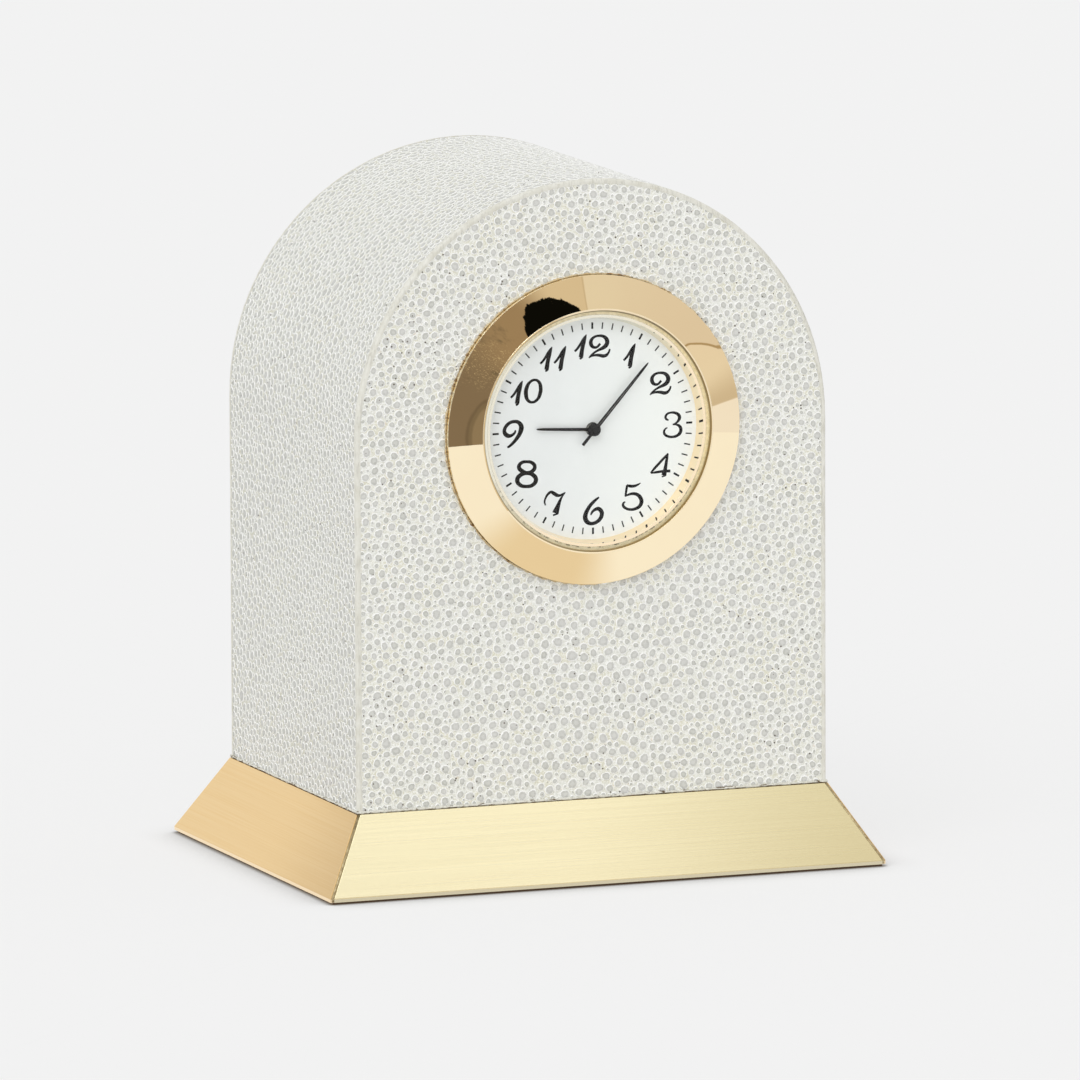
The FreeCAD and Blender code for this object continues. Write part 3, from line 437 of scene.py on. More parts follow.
def arch_outline(shape, radius, y, steps=96):
    start = shape.verts.new((-radius * MM, y * MM, dial_z * MM))
    swept = bmesh.ops.spin(
        shape, geom=[start], cent=(0, y * MM, dial_z * MM), axis=(0, 1, 0), angle=math.pi, steps=steps
    )
    end = points_of(swept["geom_last"])[0]
    feet = bmesh.ops.extrude_vert_indiv(shape, verts=[start, end])["verts"]
    bmesh.ops.translate(shape, verts=feet, vec=(0, 0, (case_bottom - dial_z) * MM))
    return feet


def flat_sheet(y, thickness, hole):
    """A flat arched sheet from y back by thickness, with a round hole or none."""
    shape = bmesh.new()
    feet = arch_outline(shape, half_width - band_width, y)
    shape.edges.new(feet)
    if hole:
        centre = Matrix.Translation((0, y * MM, dial_z * MM)) @ Matrix.Rotation(math.pi / 2, 4, "X")
        bmesh.ops.create_circle(shape, segments=96, radius=hole * MM, matrix=centre)
    bmesh.ops.triangle_fill(shape, use_beauty=True, edges=shape.edges[:])
    grown = bmesh.ops.extrude_face_region(shape, geom=shape.faces[:])["geom"]
    bmesh.ops.translate(shape, verts=points_of(grown), vec=(0, thickness * MM, 0))
    return face_outwards(shape)


def wrapped_sheet():
    """The sheet over the left side, the arch and the right side, with its thickness inwards."""
    shape = bmesh.new()
    arch_outline(shape, half_width + ground_level, face_y + band_width)
    drawn = bmesh.ops.extrude_edge_only(shape, edges=shape.edges[:])["geom"]
    sheet_width = (case_depth - 2 * band_width) * MM
    bmesh.ops.translate(shape, verts=points_of(drawn), vec=(0, sheet_width, 0))
    face_outwards(shape)
    bmesh.ops.solidify(shape, geom=shape.faces[:], thickness=sheet_thick * MM)
    return face_outwards(shape)


front_ground = mesh_of(flat_sheet(face_y - ground_level, sheet_thick, hole_radius), "front_ground")
back_ground = mesh_of(flat_sheet(back_y + ground_level, -sheet_thick, 0), "back_ground")
wrap_ground = mesh_of(wrapped_sheet(), "wrap_ground")
for mesh in (front_ground, wrap_ground, back_ground):
    mesh.set_sharp_from_angle(angle=sharp_angle)
    reach = max(vertex.co.x for vertex in mesh.vertices) / MM
    print(mesh.name, "half width", round(reach, 3))

# %% [markdown]
# ## Where the pebbles lie
# On the skin the pebbles are largest along the middle of the back and small ones fill every gap.
# Darts thrown over the flat hide copy that: large pebbles first, each kept only where it clears
# its neighbours, then smaller and smaller ones, and at the end each swells until it nearly
# touches the next. The hide is laid out flat in (u, v) and bent round the case afterwards.

# %% Throwing the darts
pebble_gap = 0.03
most_swelling = 1.35
edge_hide = 0.25
cell = 2.2
sieves = ((1.0, 4), (0.84, 7), (0.70, 10), (0.56, 14), (0.44, 20))


def lay_pebbles(low, high, fits, size_at, seed):
    """Centres and radii of pebbles on a flat hide, none nearer to another than the gap."""
    dice = random.Random(seed)
    cells = {}
    laid = []
    area = (high[0] - low[0]) * (high[1] - low[1])

    def neighbours(u, v):
        column, row = int(u // cell), int(v // cell)
        for i in (column, column - 1, column + 1):
            for j in (row, row - 1, row + 1):
                yield from cells.get((i, j), ())

    for share, throws in sieves:
        for _ in range(int(area * throws)):
            u, v = dice.uniform(low[0], high[0]), dice.uniform(low[1], high[1])
            size = size_at(u, v) * share * dice.uniform(0.88, 1.12)
            reach = size + pebble_gap
            clear = all(
                (u - a) ** 2 + (v - b) ** 2 > (reach + c) ** 2 for a, b, c in neighbours(u, v)
            )
            if clear and fits(u, v, size):
                pebble = [u, v, size]
                laid.append(pebble)
                cells.setdefault((int(u // cell), int(v // cell)), []).append(pebble)
    for pebble in laid:
        u, v, size = pebble
        room = min(
            (math.hypot(u - p[0], v - p[1]) - p[2] for p in neighbours(u, v) if p is not pebble),
            default=size + 1,
        )
        swollen = min(size * most_swelling, room - pebble_gap)
        if swollen > size and fits(u, v, swollen):
            pebble[2] = swollen
    return np.array(laid)


# %% Bending the hide round the case
side_height = dial_z - case_bottom
arch_length = math.pi * arch_radius
hide_length = 2 * side_height + arch_length
flat_half = half_width - band_width
hole_margin = 0.3


def in_arch(u, v, size):
    """Whether a pebble of the front or back stays inside the edge band."""
    limit = flat_half + edge_hide - size
    if v < dial_z:
        return abs(u) < limit and v - size > case_bottom - edge_hide
    return math.hypot(u, v - dial_z) < limit


def fits_front(u, v, size):
    """The same, and clear of the round hole, whose edge the bezel hides."""
    return math.hypot(u, v - dial_z) - size > hole_radius + hole_margin and in_arch(u, v, size)


def fits_wrap(u, v, size):
    inset = size - edge_hide
    in_length = inset < u < hide_length - inset
    return in_length and band_width + inset < v < case_depth - band_width - inset


def front_size(u, v):
    return 0.70 + 0.16 * math.exp(-((u / 26) ** 2) - ((v - 36) / 24) ** 2)


def wrap_size(u, v):
    return 0.70 + 0.05 * math.sin(u / 17 + v / 9)


def back_size(u, v):
    return 0.74 + 0.26 * math.exp(-((u / 20) ** 2) - ((v - 62) / 40) ** 2)


def bend_front(u, v, height):
    return u, face_y - height, v


def bend_back(u, v, height):
    return -u, back_y + height, v


def bend_wrap(u, v, height):
    """Up the left side, over the arch and down the right side; height is outwards."""
    radius = arch_radius + height
    angle = math.pi - np.clip((u - side_height) / arch_radius, 0, math.pi)
    below = np.minimum(u - side_height, 0) + np.minimum(hide_length - side_height - u, 0)
    return radius * np.cos(angle), face_y + v, dial_z + radius * np.sin(angle) + below


# %% [markdown]
# ## One pebble, copied thousands of times
# A pebble is a low cone frustum with ten sides, an inset top and a middle point, 31 faces in all,
# so that many thousands stay light. Every copy gets its own outline: two slow waves make it oval
# or a little three-cornered, as on the real skin. Two attributes go with each copy for the finish:
# polish, from 0 at the foot to 1 in the middle of the ground top, and tone, a number of its own.

# %% The pebble and its copies
def pebble_shape():
    shape = bmesh.new()
    bmesh.ops.create_cone(
        shape, cap_ends=True, cap_tris=False, segments=10, radius1=1.0, radius2=0.95, depth=1.0
    )
    tops = [face for face in shape.faces if face.normal.z > 0.9]
    bmesh.ops.inset_individual(shape, faces=tops, thickness=0.15, depth=0.0)
    tops = [face for face in shape.faces if face.normal.z > 0.9 and len(face.verts) > 4]
    bmesh.ops.poke(shape, faces=tops)
    mesh = bpy.data.meshes.new("pebble")
    shape.to_mesh(mesh)
    shape.free()
    return mesh


pebble = pebble_shape()
foot, shoulder, table, middle = 0, 1, 2, 3
pebble_points = np.array([v.co for v in pebble.vertices])
spread = np.hypot(pebble_points[:, 0], pebble_points[:, 1])
shoulder_width, rim_width, least_table = 0.06, 0.17, 0.58
angle_of = np.arctan2(pebble_points[:, 1], pebble_points[:, 0])
ring_of = np.where(spread > 0.88, shoulder, np.where(spread > 0.4, table, middle))
ring_of = np.where(pebble_points[:, 2] < 0, foot, ring_of)
ring_height = np.array([ground_level - 0.05, -0.04, pebble_top, pebble_top])[ring_of]
ring_polish = np.array([0.0, 0.3, 0.6, 1.0])[ring_of]
print("one pebble", len(pebble.polygons), "faces,", len(pebble_points), "points")


def grow_pebbles(name, laid, bend, seed, finish):
    """Copies the pebble to each place on the hide and bends the whole lot round the case."""
    count = len(laid)
    shape = bmesh.new()
    for _ in range(count):
        shape.from_mesh(pebble)
    mesh = mesh_of(shape, name)
    rng = np.random.default_rng(seed)
    turns = rng.uniform(0, 2 * math.pi, (2, count, 1))
    waves = rng.uniform(0.02, 0.14, (2, count, 1))
    oval = waves[0] * np.cos(2 * angle_of + turns[0])
    oval = oval + 0.6 * waves[1] * np.cos(3 * angle_of + turns[1])
    size = laid[:, 2]
    table_size = np.maximum(size - rim_width, size * least_table)
    rings = np.stack([size, size - shoulder_width, table_size, size * 0], axis=1)
    reach = rings[:, ring_of] * (1 + oval)
    u = laid[:, 0:1] + reach * np.cos(angle_of)
    v = laid[:, 1:2] + reach * np.sin(angle_of)
    sunk = rng.uniform(0, 0.03, (count, 1)) * (ring_of > foot)
    x, y, z = bend(u, v, ring_height - sunk)
    points = np.stack(np.broadcast_arrays(x, y, z), axis=-1) * MM
    mesh.vertices.foreach_set("co", points.astype(np.float32).ravel())
    polish = mesh.attributes.new("polish", "FLOAT", "POINT")
    polish.data.foreach_set("value", np.tile(ring_polish, count).astype(np.float32))
    tone = mesh.attributes.new("tone", "FLOAT", "POINT")
    own_tone = np.clip((size[:, None] - 0.25) * 1.3 + rng.uniform(-0.3, 0.5, (count, 1)), 0, 1)
    own_tone = own_tone * np.ones(len(spread))
    tone.data.foreach_set("value", own_tone.astype(np.float32).ravel())
    mesh.update()
    print(name, count, "pebbles")
    return make_piece(name, mesh, finish, "pebbled_leather", "case")


# %% [markdown]
# ## The leather's finish
# One finish serves the ground and the pebbles, because both are one skin. The ground is cream and
# speckled, with faint yellow and peach clouds. Each pebble has a pale ground rim that frays a
# little, brightened in patches as a painted glint, and inside it a light grey face with its own
# tone, darker at its border. Dark pinholes come in loose clusters. A greyer copy of the finish is
# painted shade for the wrap over the sides and the arch.

# %% Pebbled leather
def pebbled_leather(name, painted_shade):
    """The skin's finish; painted_shade from 0 to 1 greys the ground and the faces as painted shade,
    not the rims.
    """
    finish, tree, shader, place = new_finish(name)
    painted_shade_grey = tint(150, 150, 144)
    polish = add(tree, "Attribute", attribute_name="polish").outputs["Fac"]
    tone = add(tree, "Attribute", attribute_name="tone").outputs["Fac"]
    uneven = maths(tree, "SUBTRACT", grain(tree, place, 0.3, 3, 0.6), 0.5)
    fray = times(tree, uneven, 0.5)
    worn = maths(tree, "ADD", polish, times(tree, fray, fade(tree, polish, 0.0, 0.3)))
    clouds = fade(tree, grain(tree, place, 2.6, 3, 0.6), 0.40, 0.66)
    ground = blend(tree, clouds, tint(229, 230, 223), tint(224, 222, 203))
    speckle = grain(tree, place, 0.24, 3, 0.75)
    ground = blend(tree, fade(tree, speckle, 0.48, 0.60, 0.0, 0.9), ground, tint(250, 250, 246))
    ground = blend(tree, fade(tree, speckle, 0.38, 0.45, 0.35, 0.0), ground, tint(190, 187, 170))
    peach = fade(tree, grain(tree, place, 0.9, 2), 0.66, 0.74, 0.0, 0.3)
    ground = blend(tree, peach, ground, tint(230, 204, 178))
    # The rims are pale in their own colour and brightened in patches as a painted glint.
    painted_rim_glint = fade(tree, grain(tree, place, 0.5, 2), 0.35, 0.6)
    rim = blend(tree, painted_rim_glint, tint(242, 243, 237), tint(255, 255, 254))
    ground = blend(tree, painted_shade, ground, painted_shade_grey)
    ground = blend(tree, fade(tree, worn, 0.0, 0.14), ground, rim)
    border = blend(tree, tone, tint(174, 175, 166), tint(195, 195, 190))
    face = blend(tree, tone, tint(203, 204, 196), tint(216, 216, 212))
    mottle = fade(tree, grain(tree, place, 0.4, 3, 0.7), 0.35, 0.7, -0.25, 0.3)
    inwards = maths(tree, "ADD", fade(tree, worn, 0.62, 0.90), mottle, clamp=True)
    grey = blend(tree, inwards, border, face)
    grey = blend(tree, painted_shade, grey, painted_shade_grey)
    colour = blend(tree, fade(tree, worn, 0.42, 0.74), ground, grey)
    cluster = fade(tree, grain(tree, place, 9, 2), 0.42, 0.64, 0.45, 1.1)
    holes = add(tree, "TexVoronoi", {"Vector": place, "Scale": 1 / (1.2 * MM)}, feature="F1")
    near_hole = maths(tree, "DIVIDE", holes.outputs["Distance"], cluster)
    hole = fade(tree, near_hole, 0.09, 0.135, 1.0, 0.0)
    colour = blend(tree, times(tree, hole, 0.92), colour, tint(74, 56, 40))
    shine = fade(tree, polish, 0.2, 1.0, 0.62, 0.36)
    fine = grain(tree, place, 0.12, 4, 0.7)
    normal = bump(tree, fine, 0.03)
    normal = bump(tree, hole, -0.04, normal)
    set_shader(tree, shader, Base_Color=colour, Roughness=shine, Normal=normal)
    set_shader(tree, shader, Specular_IOR_Level=0.5)
    return finish


leather = pebbled_leather("pebbled_leather", 0.0)
# Painted shade: a greyer copy of the same skin for the wrap over the sides and the arch.
shaded_side_leather = pebbled_leather("pebbled_leather_painted_shade", 0.25)
make_piece("front_ground", front_ground, leather, "pebbled_leather", "case", "front_leather")
make_piece("wrap_ground", wrap_ground, shaded_side_leather, "pebbled_leather", "case", "wrap_leather")
make_piece("back_ground", back_ground, leather, "pebbled_leather", "case", "back_leather")

# %% Pebbles on the front, the back and over the arch
def grow_in_parts(name, laid, along, parts, bend, seed, finish):
    """Grows the pebbles as several pieces of equal count, so that none gets too heavy."""
    order = np.argsort(laid[:, along], kind="stable")
    for part, chosen in enumerate(np.array_split(order, parts)):
        grow_pebbles(f"{name}_{part + 1}", laid[chosen], bend, seed + part, finish)


flat_low, flat_high = (-flat_half, case_bottom), (flat_half, dial_z + flat_half)
front_laid = lay_pebbles(flat_low, flat_high, fits_front, front_size, 11)
grow_in_parts("front_pebbles", front_laid, 1, 3, bend_front, 21, leather)
back_laid = lay_pebbles(flat_low, flat_high, in_arch, back_size, 12)
grow_in_parts("back_pebbles", back_laid, 1, 2, bend_back, 25, leather)
wrap_laid = lay_pebbles((0, 0), (hide_length, case_depth), fits_wrap, wrap_size, 13)
# The wrap's pebbles wear the greyer copy, as painted shade.
grow_in_parts("wrap_pebbles", wrap_laid, 0, 8, bend_wrap, 31, shaded_side_leather)

# %% [markdown]
# ## Edge bands and pad
# Where the front and the back meet the sides, a narrow band of smooth leather covers the raw
# edges. The CAD solids have its shape, so they stay and get a finish: pale cream with thin darker
# wear lines. The pad under the plinth is dark napped suede, which needs fine noise and sheen.

# %% Smooth leather and suede
def smooth_leather():
    finish, tree, shader, place = new_finish("smooth_leather")
    clouds = fade(tree, grain(tree, place, 2.5, 4, 0.65), 0.35, 0.75)
    colour = blend(tree, clouds, tint(228, 227, 218), tint(214, 212, 199))
    creases = fade(tree, grain(tree, stretch(tree, place, 1, 1, 0.12), 0.35, 3, 0.7), 0.50, 0.62)
    colour = blend(tree, times(tree, creases, 0.45), colour, tint(188, 186, 176))
    rubbed = fade(tree, grain(tree, place, 0.7, 3, 0.6), 0.62, 0.74)
    colour = blend(tree, times(tree, rubbed, 0.25), colour, tint(190, 174, 140))
    pores = add(tree, "TexVoronoi", {"Vector": place, "Scale": 1 / (0.25 * MM)}).outputs["Distance"]
    normal = bump(tree, pores, 0.02)
    rough = fade(tree, clouds, 0, 1, 0.42, 0.6)
    set_shader(tree, shader, Base_Color=colour, Roughness=rough, Normal=normal)
    return finish


def suede():
    finish, tree, shader, place = new_finish("pad_suede")
    nap = grain(tree, place, 0.3, 5, 0.8)
    colour = blend(tree, nap, tint(70, 52, 38), tint(112, 86, 64))
    set_shader(tree, shader, Base_Color=colour, Roughness=0.95, Normal=bump(tree, nap, 0.15))
    set_shader(tree, shader, Sheen_Weight=0.4, Sheen_Roughness=0.5, Specular_IOR_Level=0.2)
    return finish


def dress(finish, slot, *names):
    """Gives CAD nodes, whose shape stays, their finish."""
    for name in names:
        nodes[name].data.materials.clear()
        nodes[name].data.materials.append(finish)
    print(slot, "on", *names)


dress(smooth_leather(), "smooth_leather", "front_edge_band", "back_edge_band")
dress(suede(), "pad_suede", "base_pad")

# %% [markdown]
# ## Glue and frayed edges
# Where the leather ends on the brass and under the bezel, its cut edge frays and a little glue
# shows: an uneven pale bead with broken brown spots. Each bead is a thin cord along its path, with
# a width that wanders, and it hides the hard joint between two pieces as it does on the clock.

# %% Cords along a path
same_point = 1e-8


def shape_of_curve(path):
    """The solid that a curve's bevel makes, as a bmesh."""
    holder = new_object(path.name, path)
    bpy.context.view_layer.update()
    laid_out = holder.evaluated_get(bpy.context.evaluated_depsgraph_get())
    mesh = bpy.data.meshes.new_from_object(laid_out)
    bpy.data.objects.remove(holder)
    shape = bmesh.new()
    shape.from_mesh(mesh)
    return shape


def cord(points, widths, closed):
    """A thin round cord along points, with its own width at each, all in millimetres."""
    path = bpy.data.curves.new("cord", "CURVE")
    path.dimensions, path.bevel_depth, path.bevel_resolution = "3D", 0.5 * MM, 1
    path.use_fill_caps = not closed
    run = path.splines.new("POLY")
    run.points.add(len(points) - 1)
    run.use_cyclic_u = closed
    for knot, spot, width in zip(run.points, points, widths):
        knot.co = (*(value * MM for value in spot), 1)
        knot.radius = width
    return close_seams(shape_of_curve(path), same_point)


def wander(count, low, high, seed, stiffness):
    """Smoothly wandering values between low and high, one per point."""
    dice = np.random.default_rng(seed)
    rough = dice.uniform(0, 1, count)
    window = np.ones(stiffness) / stiffness
    looped = np.concatenate([rough[-stiffness:], rough, rough[:stiffness]])
    smooth = np.convolve(looped, window, "same")[stiffness:-stiffness]
    return low + (high - low) * np.clip((smooth - 0.2) / 0.6, 0, 1)


def glue(name, pale, deep, brown, amount, low_edge=0.0):
    """Pale glue with brown spots; below low_edge, where one is given, it is brown in broken
    stretches.
    """
    finish, tree, shader, place = new_finish(name)
    clouds = fade(tree, grain(tree, place, 0.5, 4, 0.7), 0.35, 0.65)
    colour = blend(tree, clouds, pale, deep)
    spread_out = grain(tree, stretch(tree, place, 0.6, 0.6, 2), 0.9, 4, 0.7)
    spots = fade(tree, spread_out, 0.60 - amount, 0.64 - amount)
    colour = blend(tree, spots, colour, brown)
    if low_edge:
        height = split(tree, place)[2]
        broken = fade(tree, grain(tree, place, 1.6, 3, 0.6), 0.49, 0.60)
        under = fade(tree, height, (low_edge - 0.03) * MM, (low_edge + 0.05) * MM, 1.0, 0.0)
        colour = blend(tree, times(tree, under, broken), colour, brown)
    normal = bump(tree, grain(tree, place, 0.15, 3, 0.7), 0.06)
    set_shader(tree, shader, Base_Color=colour, Roughness=0.6, Normal=normal)
    return finish


# %% Bead on the brass and fringe under the bezel
bead_outwards, bead_height = 0.02, 0.14
fringe_inner = 25.41


def foot_path(step=0.3):
    """Round the case's foot, just outside the leather and on the brass sheets' top edge."""
    wide, deep, z = half_width + bead_outwards, back_y + bead_outwards, case_bottom + bead_height
    corners = ((-wide, -deep), (wide, -deep), (wide, deep), (-wide, deep))
    for (x0, y0), (x1, y1) in zip(corners, corners[1:] + corners[:1]):
        pieces = int(math.hypot(x1 - x0, y1 - y0) / step)
        for k in range(pieces):
            yield x0 + (x1 - x0) * k / pieces, y0 + (y1 - y0) * k / pieces, z


foot_points = list(foot_path())
foot_widths = wander(len(foot_points), 0.28, 0.60, 41, 4)
bead_finish = glue(
    "glue_bead", tint(234, 233, 224), tint(208, 206, 194), tint(98, 80, 54), 0.03, case_bottom + 0.02
)
bead = cord(foot_points, foot_widths, True)
make_piece("glue_bead", bead, bead_finish, "smooth_leather", "case")

fringe_count = 620
fringe_widths = wander(fringe_count, 0.10, 0.36, 42, 3)
fringe_points = []
for k, width in enumerate(fringe_widths):
    angle = 2 * math.pi * k / fringe_count
    radius = fringe_inner + width / 2
    x, z = radius * math.cos(angle), dial_z + radius * math.sin(angle)
    fringe_points.append((x, face_y - 0.02, z))
fringe_finish = glue(
    "leather_fringe", tint(226, 210, 176), tint(204, 178, 130), tint(142, 108, 62), 0.05
)
fringe = cord(fringe_points, fringe_widths, True)
make_piece("leather_fringe", fringe, fringe_finish, "smooth_leather", "case")
print("bead points", len(foot_points), "fringe points", fringe_count)

# %% [markdown]
# ## Brushed brass plinth
# The plinth is four sheets of pale brass, mitred at the corners. Each sheet has a short upright
# edge at the bottom, which catches the light as a thin bright line, and each mitre is left a hair
# open for a dull line of solder. A strip starts as one edge along the foot, is drawn up twice, and
# gets its thickness by solidify. All are brushed along their length, the front and back deepen
# towards the right, and the side sheets are warmer, more satin and deepen towards the front.

# %% Shapes of the four sheets
plate_low, plate_high = (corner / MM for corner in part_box("base_plate_front"))
side_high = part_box("base_plate_right")[1] / MM
foot_half = (side_high.x, -plate_low.y)
flare = 7.3
plate_foot, plate_top, plate_land = 0.38, plate_high.z - 0.12, 0.62
sheet_thickness, long_gap, side_gap = 0.6, 0.60, 0.16


def brass_sheet(half_length, half_other, gap):
    """One sheet along X at the front, drawn up from its foot edge, half_other from the middle."""
    shape = bmesh.new()
    half = half_length - gap
    foot_edge = ((x * MM, -half_other * MM, plate_foot * MM) for x in (-half, half))
    ends = [shape.verts.new(corner) for corner in foot_edge]
    edge = shape.edges.new(ends)
    for lift, inwards in ((plate_land, 0.0), (plate_top - plate_foot - plate_land, flare)):
        drawn = bmesh.ops.extrude_edge_only(shape, edges=[edge])["geom"]
        moved = points_of(drawn)
        for vert in moved:
            vert.co += Vector((-math.copysign(inwards, vert.co.x), inwards, lift)) * MM
        edges = [item for item in drawn if isinstance(item, bmesh.types.BMEdge)]
        edge = [item for item in edges if set(item.verts) == set(moved)][0]
    face_outwards(shape)
    if shape.faces[:][0].normal.y > 0:
        bmesh.ops.reverse_faces(shape, faces=shape.faces[:])
    bmesh.ops.solidify(shape, geom=shape.faces[:], thickness=sheet_thickness * MM)
    return face_outwards(shape)


# %% Brushed brass
def brushed_brass(name, pale, deep, edge, axis, start, end, satin, marking):
    """Brass from pale to deep between start and end along an axis, with fine long strokes.

    The bent foot gets the colour edge as a painted reflection, satin is the least roughness, and
    marking says how strongly the strokes show in colour, roughness and relief.
    """
    finish, tree, shader, place = new_finish(name)
    strokes = grain(tree, stretch(tree, place, 0.02, 0.02, 7), 1.0, 4, 0.7)
    broad = grain(tree, stretch(tree, place, 0.012, 0.012, 0.6), 1.0, 2, 0.5)
    along = split(tree, place)[axis]
    colour = blend(tree, fade(tree, along, start * MM, end * MM), pale, deep)
    fine_lines = fade(tree, strokes, 0.35, 0.75, 0.0, marking)
    broad_lines = fade(tree, broad, 0.4, 0.7, 0.0, marking * 0.4)
    colour = blend(tree, maths(tree, "ADD", fine_lines, broad_lines), colour, deep)
    specks = fade(tree, grain(tree, place, 0.18, 2, 0.5), 0.70, 0.76, 0.0, 0.25)
    colour = blend(tree, specks, colour, tint(206, 178, 124))
    height = split(tree, place)[2]
    bend = plate_foot + plate_land
    # Painted reflection: the upright foot gets its own colour, darker on the front and back sheets
    # and paler on the side sheets.
    foot_painted_reflection = fade(tree, height, (bend - 0.1) * MM, (bend - 0.02) * MM, 1.0, 0.0)
    colour = blend(tree, foot_painted_reflection, colour, edge)
    rough = maths(tree, "ADD", fade(tree, strokes, 0.3, 0.7, 0.0, marking * 1.9), satin)
    normal = bump(tree, strokes, marking * 0.095)
    normal = bump(tree, grain(tree, place, 0.25, 3, 0.6), 0.002, normal)
    set_shader(tree, shader, Base_Color=colour, Metallic=1.0, Roughness=rough, Normal=normal)
    return finish


# The third colour of each is the foot's painted reflection.
long_brass = brushed_brass(
    "brushed_brass", tint(255, 245, 205), tint(229, 218, 175), tint(216, 207, 178),
    axis=0, start=-12, end=50, satin=0.20, marking=0.044,
)
side_brass = brushed_brass(
    "brushed_brass_side", tint(233, 202, 147), tint(212, 181, 129), tint(250, 228, 190),
    axis=1, start=0, end=-46, satin=0.30, marking=0.09,
)
sheets = (
    ("front", foot_half[0], foot_half[1], 0, long_gap, long_brass),
    ("right", foot_half[1], foot_half[0], 90, side_gap, side_brass),
    ("back", foot_half[0], foot_half[1], 180, long_gap, long_brass),
    ("left", foot_half[1], foot_half[0], 270, side_gap, side_brass),
)
for side, half_length, half_other, turned_by, gap, finish in sheets:
    shape = brass_sheet(half_length, half_other, gap)
    rotate_shape(shape, turned_by, "Z")
    sheet = make_piece(
        "brass_" + side, shape, finish, "brushed_brass", "case", "base_plate_" + side
    )
    ease_edges(sheet, 0.08, 20)

# %% Solder in the mitres
def mitre_solder():
    finish, tree, shader, place = new_finish("mitre_solder")
    clouds = fade(tree, grain(tree, place, 0.7, 4, 0.7), 0.3, 0.7)
    colour = blend(tree, clouds, tint(206, 191, 152), tint(150, 131, 96))
    normal = bump(tree, grain(tree, place, 0.3, 3, 0.7), 0.04)
    set_shader(tree, shader, Base_Color=colour, Metallic=0.7, Roughness=0.5, Normal=normal)
    return finish


solder = mitre_solder()
solder_width = 0.58
solder_in_x, solder_in_y = 0.42, 0.32
run = [(0.0, plate_foot + 0.1), (0.0, plate_foot + plate_land), (flare, plate_top - 0.1)]
for across, along in ((-1, -1), (1, -1), (1, 1), (-1, 1)):
    corner_x, corner_y = foot_half[0] - solder_in_x, foot_half[1] - solder_in_y
    points = [(across * (corner_x - inset), along * (corner_y - inset), z) for inset, z in run]
    name = "mitre_" + ("left", "right")[across > 0] + ("_front", "_back")[along > 0]
    solder_line = cord(points, [solder_width] * len(points), False)
    make_piece(name, solder_line, solder, "brushed_brass", "case")

# %% [markdown]
# ## The polished bezel and the ring inside it
# Both are turned parts, so each is a profile spun round the dial's centre line. A Bevel modifier
# with hardened normals eases the edges and leaves the flank's reflection true, which is what makes
# it look like polished metal. The flank is hollow by a hair, and the ring is a steep cone, so that
# it mirrors the minute marks as dashes; its colour is painted paler at its upper left as a painted
# reflection.

# %% Turned pieces
turned_steps = 240


def turned(profile):
    """A closed profile of (radius, depth behind the face) points, spun round the dial's centre."""
    shape = bmesh.new()
    points = [shape.verts.new((r * MM, (face_y + d) * MM, dial_z * MM)) for r, d in profile]
    edges = [shape.edges.new(pair) for pair in zip(points, points[1:] + points[:1])]
    bmesh.ops.spin(
        shape, geom=points + edges, cent=(0, 0, dial_z * MM), axis=(0, 1, 0), angle=2 * math.pi,
        steps=turned_steps, use_merge=True, use_duplicate=False,
    )
    return close_seams(shape, 1e-7)


# %% Profiles of the bezel and the ring: radii, and depths behind the case's face
bezel_radius, rim_outer, rim_inner = 25.4, 20.07, 19.81
bezel_back, bezel_shoulder, rim_front = -0.1, -1.0, -2.9
crystal_front, ledge_front, ledge = -2.6, -1.5, 18.9
flank_top, flank_hollow = -2.86, 0.036
collar_inner, collar_outer, collar_back = 20.9, 21.9, 3.0
ring_bore_back, ring_bore_front, ring_outer, ring_lip = 18.10, 18.56, 18.85, 19.04
ring_seat, ring_front = -1.505, -2.06


def hollow_flank(steps=8):
    """Points from the shoulder up to the rim, sunk a hair so that the flank is slightly hollow."""
    for step in range(steps + 1):
        share = step / steps
        sunk = flank_hollow * 4 * share * (1 - share)
        radius = bezel_radius + (rim_outer - bezel_radius) * share
        depth = bezel_shoulder + (flank_top - bezel_shoulder) * share
        yield radius - sunk * 0.33, depth + sunk * 0.94


bezel_profile = (
    (bezel_radius, bezel_back), *hollow_flank(), (rim_outer - 0.03, rim_front),
    (rim_inner, rim_front), (rim_inner, ledge_front), (ledge, ledge_front), (ledge, bezel_back),
    (collar_inner, bezel_back), (collar_inner, collar_back), (collar_outer, collar_back),
    (collar_outer, bezel_back),
)
ring_profile = (
    (ring_bore_back, bezel_back), (ring_outer, bezel_back), (ring_outer, ring_seat),
    (ring_lip, ring_seat), (ring_lip, ring_front), (ring_bore_front, ring_front),
)
print("bezel", len(bezel_profile), "points, ring", len(ring_profile), "points")


# %% Polished gold
def mirror_gold(name, choose, first, second, smoothest, roughest, wave_depth):
    """Mirror-bright gold from first to second, by what choose makes of the tree and the place."""
    finish, tree, shader, place = new_finish(name)
    colour = blend(tree, choose(tree, place), first, second)
    smear = grain(tree, place, 0.6, 4, 0.7)
    rough = fade(tree, smear, 0.4, 0.8, smoothest, roughest)
    normal = bump(tree, grain(tree, place, 2.2, 2, 0.4), wave_depth)
    set_shader(tree, shader, Base_Color=colour, Metallic=1.0, Roughness=rough, Normal=normal)
    return finish


def wide_clouds(tree, place):
    return fade(tree, grain(tree, place, 9, 2), 0.3, 0.7)


